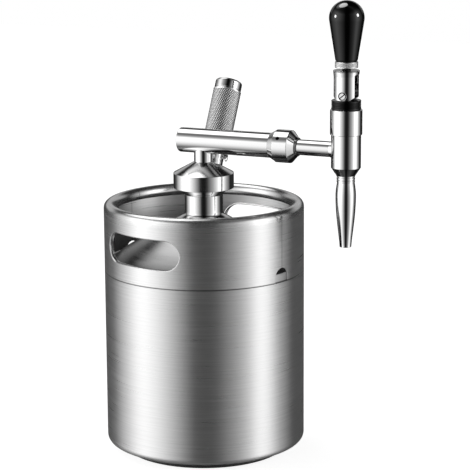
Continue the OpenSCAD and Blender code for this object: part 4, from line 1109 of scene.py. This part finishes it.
lock_r = middle_and_radius("lock_nut")[1]
lock = [(stud_r, lock_low, 0.3), (lock_r, lock_low, 0.5), (lock_r, lock_top, 0.5),
        (stud_r, lock_top, 0.3)]
lathe("lock_nut", dense(rounded(lock), lock_low + 0.55, lock_top - 0.55, 0.22), TAP,
      segments=8 * LOCK_DIAMONDS,
      relief=diamonds(LOCK_DIAMONDS, 1.2, lock_low + 0.5, lock_top - 0.5, 0.28))

# %% [markdown]
# The handle
#
# The knob is a teardrop: a ball on a cone whose side touches it, with a small rounded foot. The
# ball is the rounding of the corner where the cone's line meets the level of the top.

# %% Handle
handle_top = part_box("handle")[1].z / MM
head_r = middle_and_radius("handle")[1]
foot_rim, foot_h, insert_r, insert_h = 9.55, 1.5, 5.5, 22
head_z = handle_top - head_r
rise = head_z - lock_top - foot_h
# the cone leans out by this angle to touch the ball
lean_out = math.asin(head_r / math.hypot(rise, foot_rim)) - math.atan2(foot_rim, rise)
corner_x = foot_rim + (handle_top - lock_top - foot_h) * math.tan(lean_out)
knob = [(0, handle_top, 0), (corner_x, handle_top, head_r * 0.985),
        (foot_rim, lock_top + foot_h, 2.0), (foot_rim - 0.8, lock_top, 0.5),
        (insert_r, lock_top, 0.3), (insert_r, lock_top + insert_h, 0.3),
        (0, lock_top + insert_h, 0)]
handle = lathe("handle", rounded(knob, arc_step=3.0), TAP, segments=192)

# %% [markdown]
# Lamps for the handle
#
# Black plastic mirrors only a few hundredths of what stands round it, so the panels that fill the
# steel leave it dull. A photographer adds small strong lamps until a black knob gets a spark on
# each shoulder and a pale disc on top. Here light linking keeps their light on the handle alone.

# %% Handle lamps
only_handle = bpy.data.collections.new("lit_by_small_lamps")
only_handle.objects.link(handle)
head = Vector((faucet_x, 0, head_z)) * MM
# each lamp: its direction right, behind and up, its disc's radius in metres, and its brightness
LAMPS = {"left_lamp": ((-0.98, -0.12, 0.15), 0.13, 32),
         "right_lamp": ((0.94, -0.24, 0.25), 0.14, 36),
         "top_lamp": ((-0.25, 0.20, 0.94), 0.34, 10)}
for name, ((right, back, high), disc, bright) in LAMPS.items():
    lamp = bpy.data.lights.new(name, "AREA")
    lamp.shape = "DISK"
    lamp.size = 2 * disc
    # a disc's watts are its brightness times pi times its area
    lamp.energy = bright * math.pi * math.pi * disc ** 2
    stand = bpy.data.objects.new(name, lamp)
    towards = (SIDE * right + AHEAD * back + Vector((0, 0, high))).normalized()
    stand.location = head + towards
    stand.rotation_euler = towards.to_track_quat("Z", "Y").to_euler()
    stand.light_linking.receiver_collection = only_handle
    bpy.context.collection.objects.link(stand)
    print(name, "gives", round(lamp.energy, 2), "watts")

# %% [markdown]
# Solids that keep their own shape
#
# Some parts are turned but have a slot, a flat or a cross hole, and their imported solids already
# have the right shape. A copy of such a solid gets better normals: every face that belongs to a
# turned surface is shaded as one, and only the slot's own faces stay flat. A bevel in the shader
# breaks their edges, so that they catch a line of light as a deburred edge does.

# %% Turned normals
# the parts of a face's normal along the circle and along the axis up to which it is shaded round,
# and how near the axis, in metres, a corner has no direction away from it
ALONG_CIRCLE, ALONG_AXIS, ON_AXIS_M = 0.09, 0.999, 1e-5


def read(items, key, width=1):
    """A property of all the items of a mesh as an array, one row for each item."""
    values = np.zeros(len(items) * width, int if width == 1 else np.float64)
    items.foreach_get(key, values)
    return values if width == 1 else values.reshape(-1, width)


def unit(vectors, sizes):
    """Vectors divided by their sizes, or by next to nothing where a size is nothing."""
    return vectors / np.maximum(sizes, 1e-9)[:, None]


def shade_round(mesh, where):
    """A face whose normal has no part along the circle round the axis lies on a turned surface.
    Its corners get the normal with the same parts along the axis and away from it there."""
    origin = np.array(where.translation) * MM
    axis = np.array(where.to_3x3())[:, 2]
    flat = read(mesh.polygons, "normal", 3)
    away = read(mesh.polygons, "center", 3) - origin
    away -= (away @ axis)[:, None] * axis
    away = unit(away, np.linalg.norm(away, axis=1))
    lengthwise, outward = flat @ axis, np.sum(flat * away, axis=1)
    sideways = np.abs(np.sum(flat * np.cross(axis, away), axis=1))
    # from here on there is one row for each corner of each face
    face_of = np.repeat(np.arange(len(flat)), read(mesh.polygons, "loop_total"))
    here = read(mesh.vertices, "co", 3)[read(mesh.loops, "vertex_index")] - origin
    here -= (here @ axis)[:, None] * axis
    size = np.linalg.norm(here, axis=1)
    smooth = (lengthwise[:, None] * axis)[face_of] + outward[face_of][:, None] * unit(here, size)
    stays_flat = (sideways > ALONG_CIRCLE) | (np.abs(lengthwise) > ALONG_AXIS)
    keep = stays_flat[face_of] | (size < ON_AXIS_M)
    facing = np.where(keep[:, None], flat[face_of], smooth)
    mesh.shade_smooth()
    mesh.normals_split_custom_set(unit(facing, np.linalg.norm(facing, axis=1)).tolist())
    return int((~keep).sum())


def turned_copy(name, where=at(), coat=eased):
    """Replaces a solid by its copy with turned normals, once its loose triangles are merged."""
    made = nodes[name].copy()
    made.data = nodes[name].data.copy()
    made.name = name + "_smoothed"
    merged = bmesh.new()
    merged.from_mesh(made.data)
    bmesh.ops.remove_doubles(merged, verts=merged.verts, dist=0.001 * MM)
    merged.to_mesh(made.data)
    merged.free()
    shaded = shade_round(made.data, where)
    print(made.name, len(made.data.polygons), "faces,", shaded, "corners shaded round")
    return enlist(made, name, coat)


turned_copy("riser")
turned_copy("coupling_nut", ARM, drilled)
turned_copy("shank_flange", ARM)
turned_copy("lever", TAP)

# %% Pivot screw
HEAD_SHRINK, HEAD_FROM = 0.09, 3.0 * MM
pivot_z = ring_top + 4.1
pivot = at(faucet_x, 0, pivot_z, Matrix.Rotation(math.pi / 2, 3, "X"))
screw = turned_copy("pivot_screw", pivot, slotted)
# the head stands 0.3 mm clear of its counterbore: its rim is drawn in by a share of its radius
spots = read(screw.data.vertices, "co", 3).astype(np.float32)
aside = (spots - np.array([faucet_x * MM, 0, pivot_z * MM], np.float32)) * (1, 0, 1)
on_head = np.linalg.norm(aside, axis=1, keepdims=True) > HEAD_FROM
spots = (spots - HEAD_SHRINK * aside * on_head).astype(np.float32)
screw.data.vertices.foreach_set("co", spots.ravel())
print("the screw's head is drawn in at", int(on_head.sum()), "points")

# %% [markdown]
# The gas charger's holder
#
# The boss leans away from the arm on its own axis, so every height here is measured along that
# axis from the cap's cone. The sleeve is knurled all over, with forty diamonds round it, because
# it is turned by a wet hand.

# %% Gas holder
PORT_Y, PORT_TURN, PORT_LEAN = 15.8, math.radians(-4), math.radians(-26)
gas_z = band_z + (cap_top - band_z) * (cap_r - PORT_Y) / (cap_r - riser_r)
GAS = (Matrix.Rotation(PORT_TURN, 4, "Z") @ Matrix.Translation((0, PORT_Y, gas_z))
       @ Matrix.Rotation(PORT_LEAN, 4, "X"))
turned_copy("gas_port", GAS)

sleeve_t, sleeve_end, sleeve_r = 12.3, 67.1, 12.4
BOSS_BORE, CAP_BORE, CHARGER_BORE, GAS_DIAMONDS = 10.6, 10.8, 9.6, 40
cap_seat, boss_seat = sleeve_end - 4.5, sleeve_t + 8.3
sleeve = [(BOSS_BORE, sleeve_t, 0.2), (sleeve_r, sleeve_t, 0.8), (sleeve_r, sleeve_end, 0.5),
          (CAP_BORE, sleeve_end, 0.2), (CAP_BORE, cap_seat, 0.2), (CHARGER_BORE, cap_seat, 0.2),
          (CHARGER_BORE, boss_seat, 0.2), (BOSS_BORE, boss_seat, 0.2)]
lathe("holder_sleeve", dense(rounded(sleeve), sleeve_t + 1, sleeve_end - 0.7, 0.3), GAS,
      segments=9 * GAS_DIAMONDS,
      relief=diamonds(GAS_DIAMONDS, 2.7, sleeve_t + 1.1, sleeve_end - 0.9, 0.35))

cap_end, cap_edge, neck_in, hollow_r = sleeve_end + 9, 11.85, 11.5, 9.3
shoulder, plug_end, hollow_end = sleeve_end + 0.9, sleeve_end - 4.2, 73.3
end_cap = [(0, cap_end, 0), (cap_edge, cap_end, 2.4), (cap_edge, shoulder, 0.3),
           (neck_in, shoulder, 0.1), (neck_in, sleeve_end, 0.1), (CAP_BORE, sleeve_end, 0.1),
           (CAP_BORE, plug_end, 0.3), (hollow_r, plug_end, 0.2), (hollow_r, hollow_end, 0.2),
           (0, hollow_end, 0)]
lathe("holder_cap", rounded(end_cap), GAS)
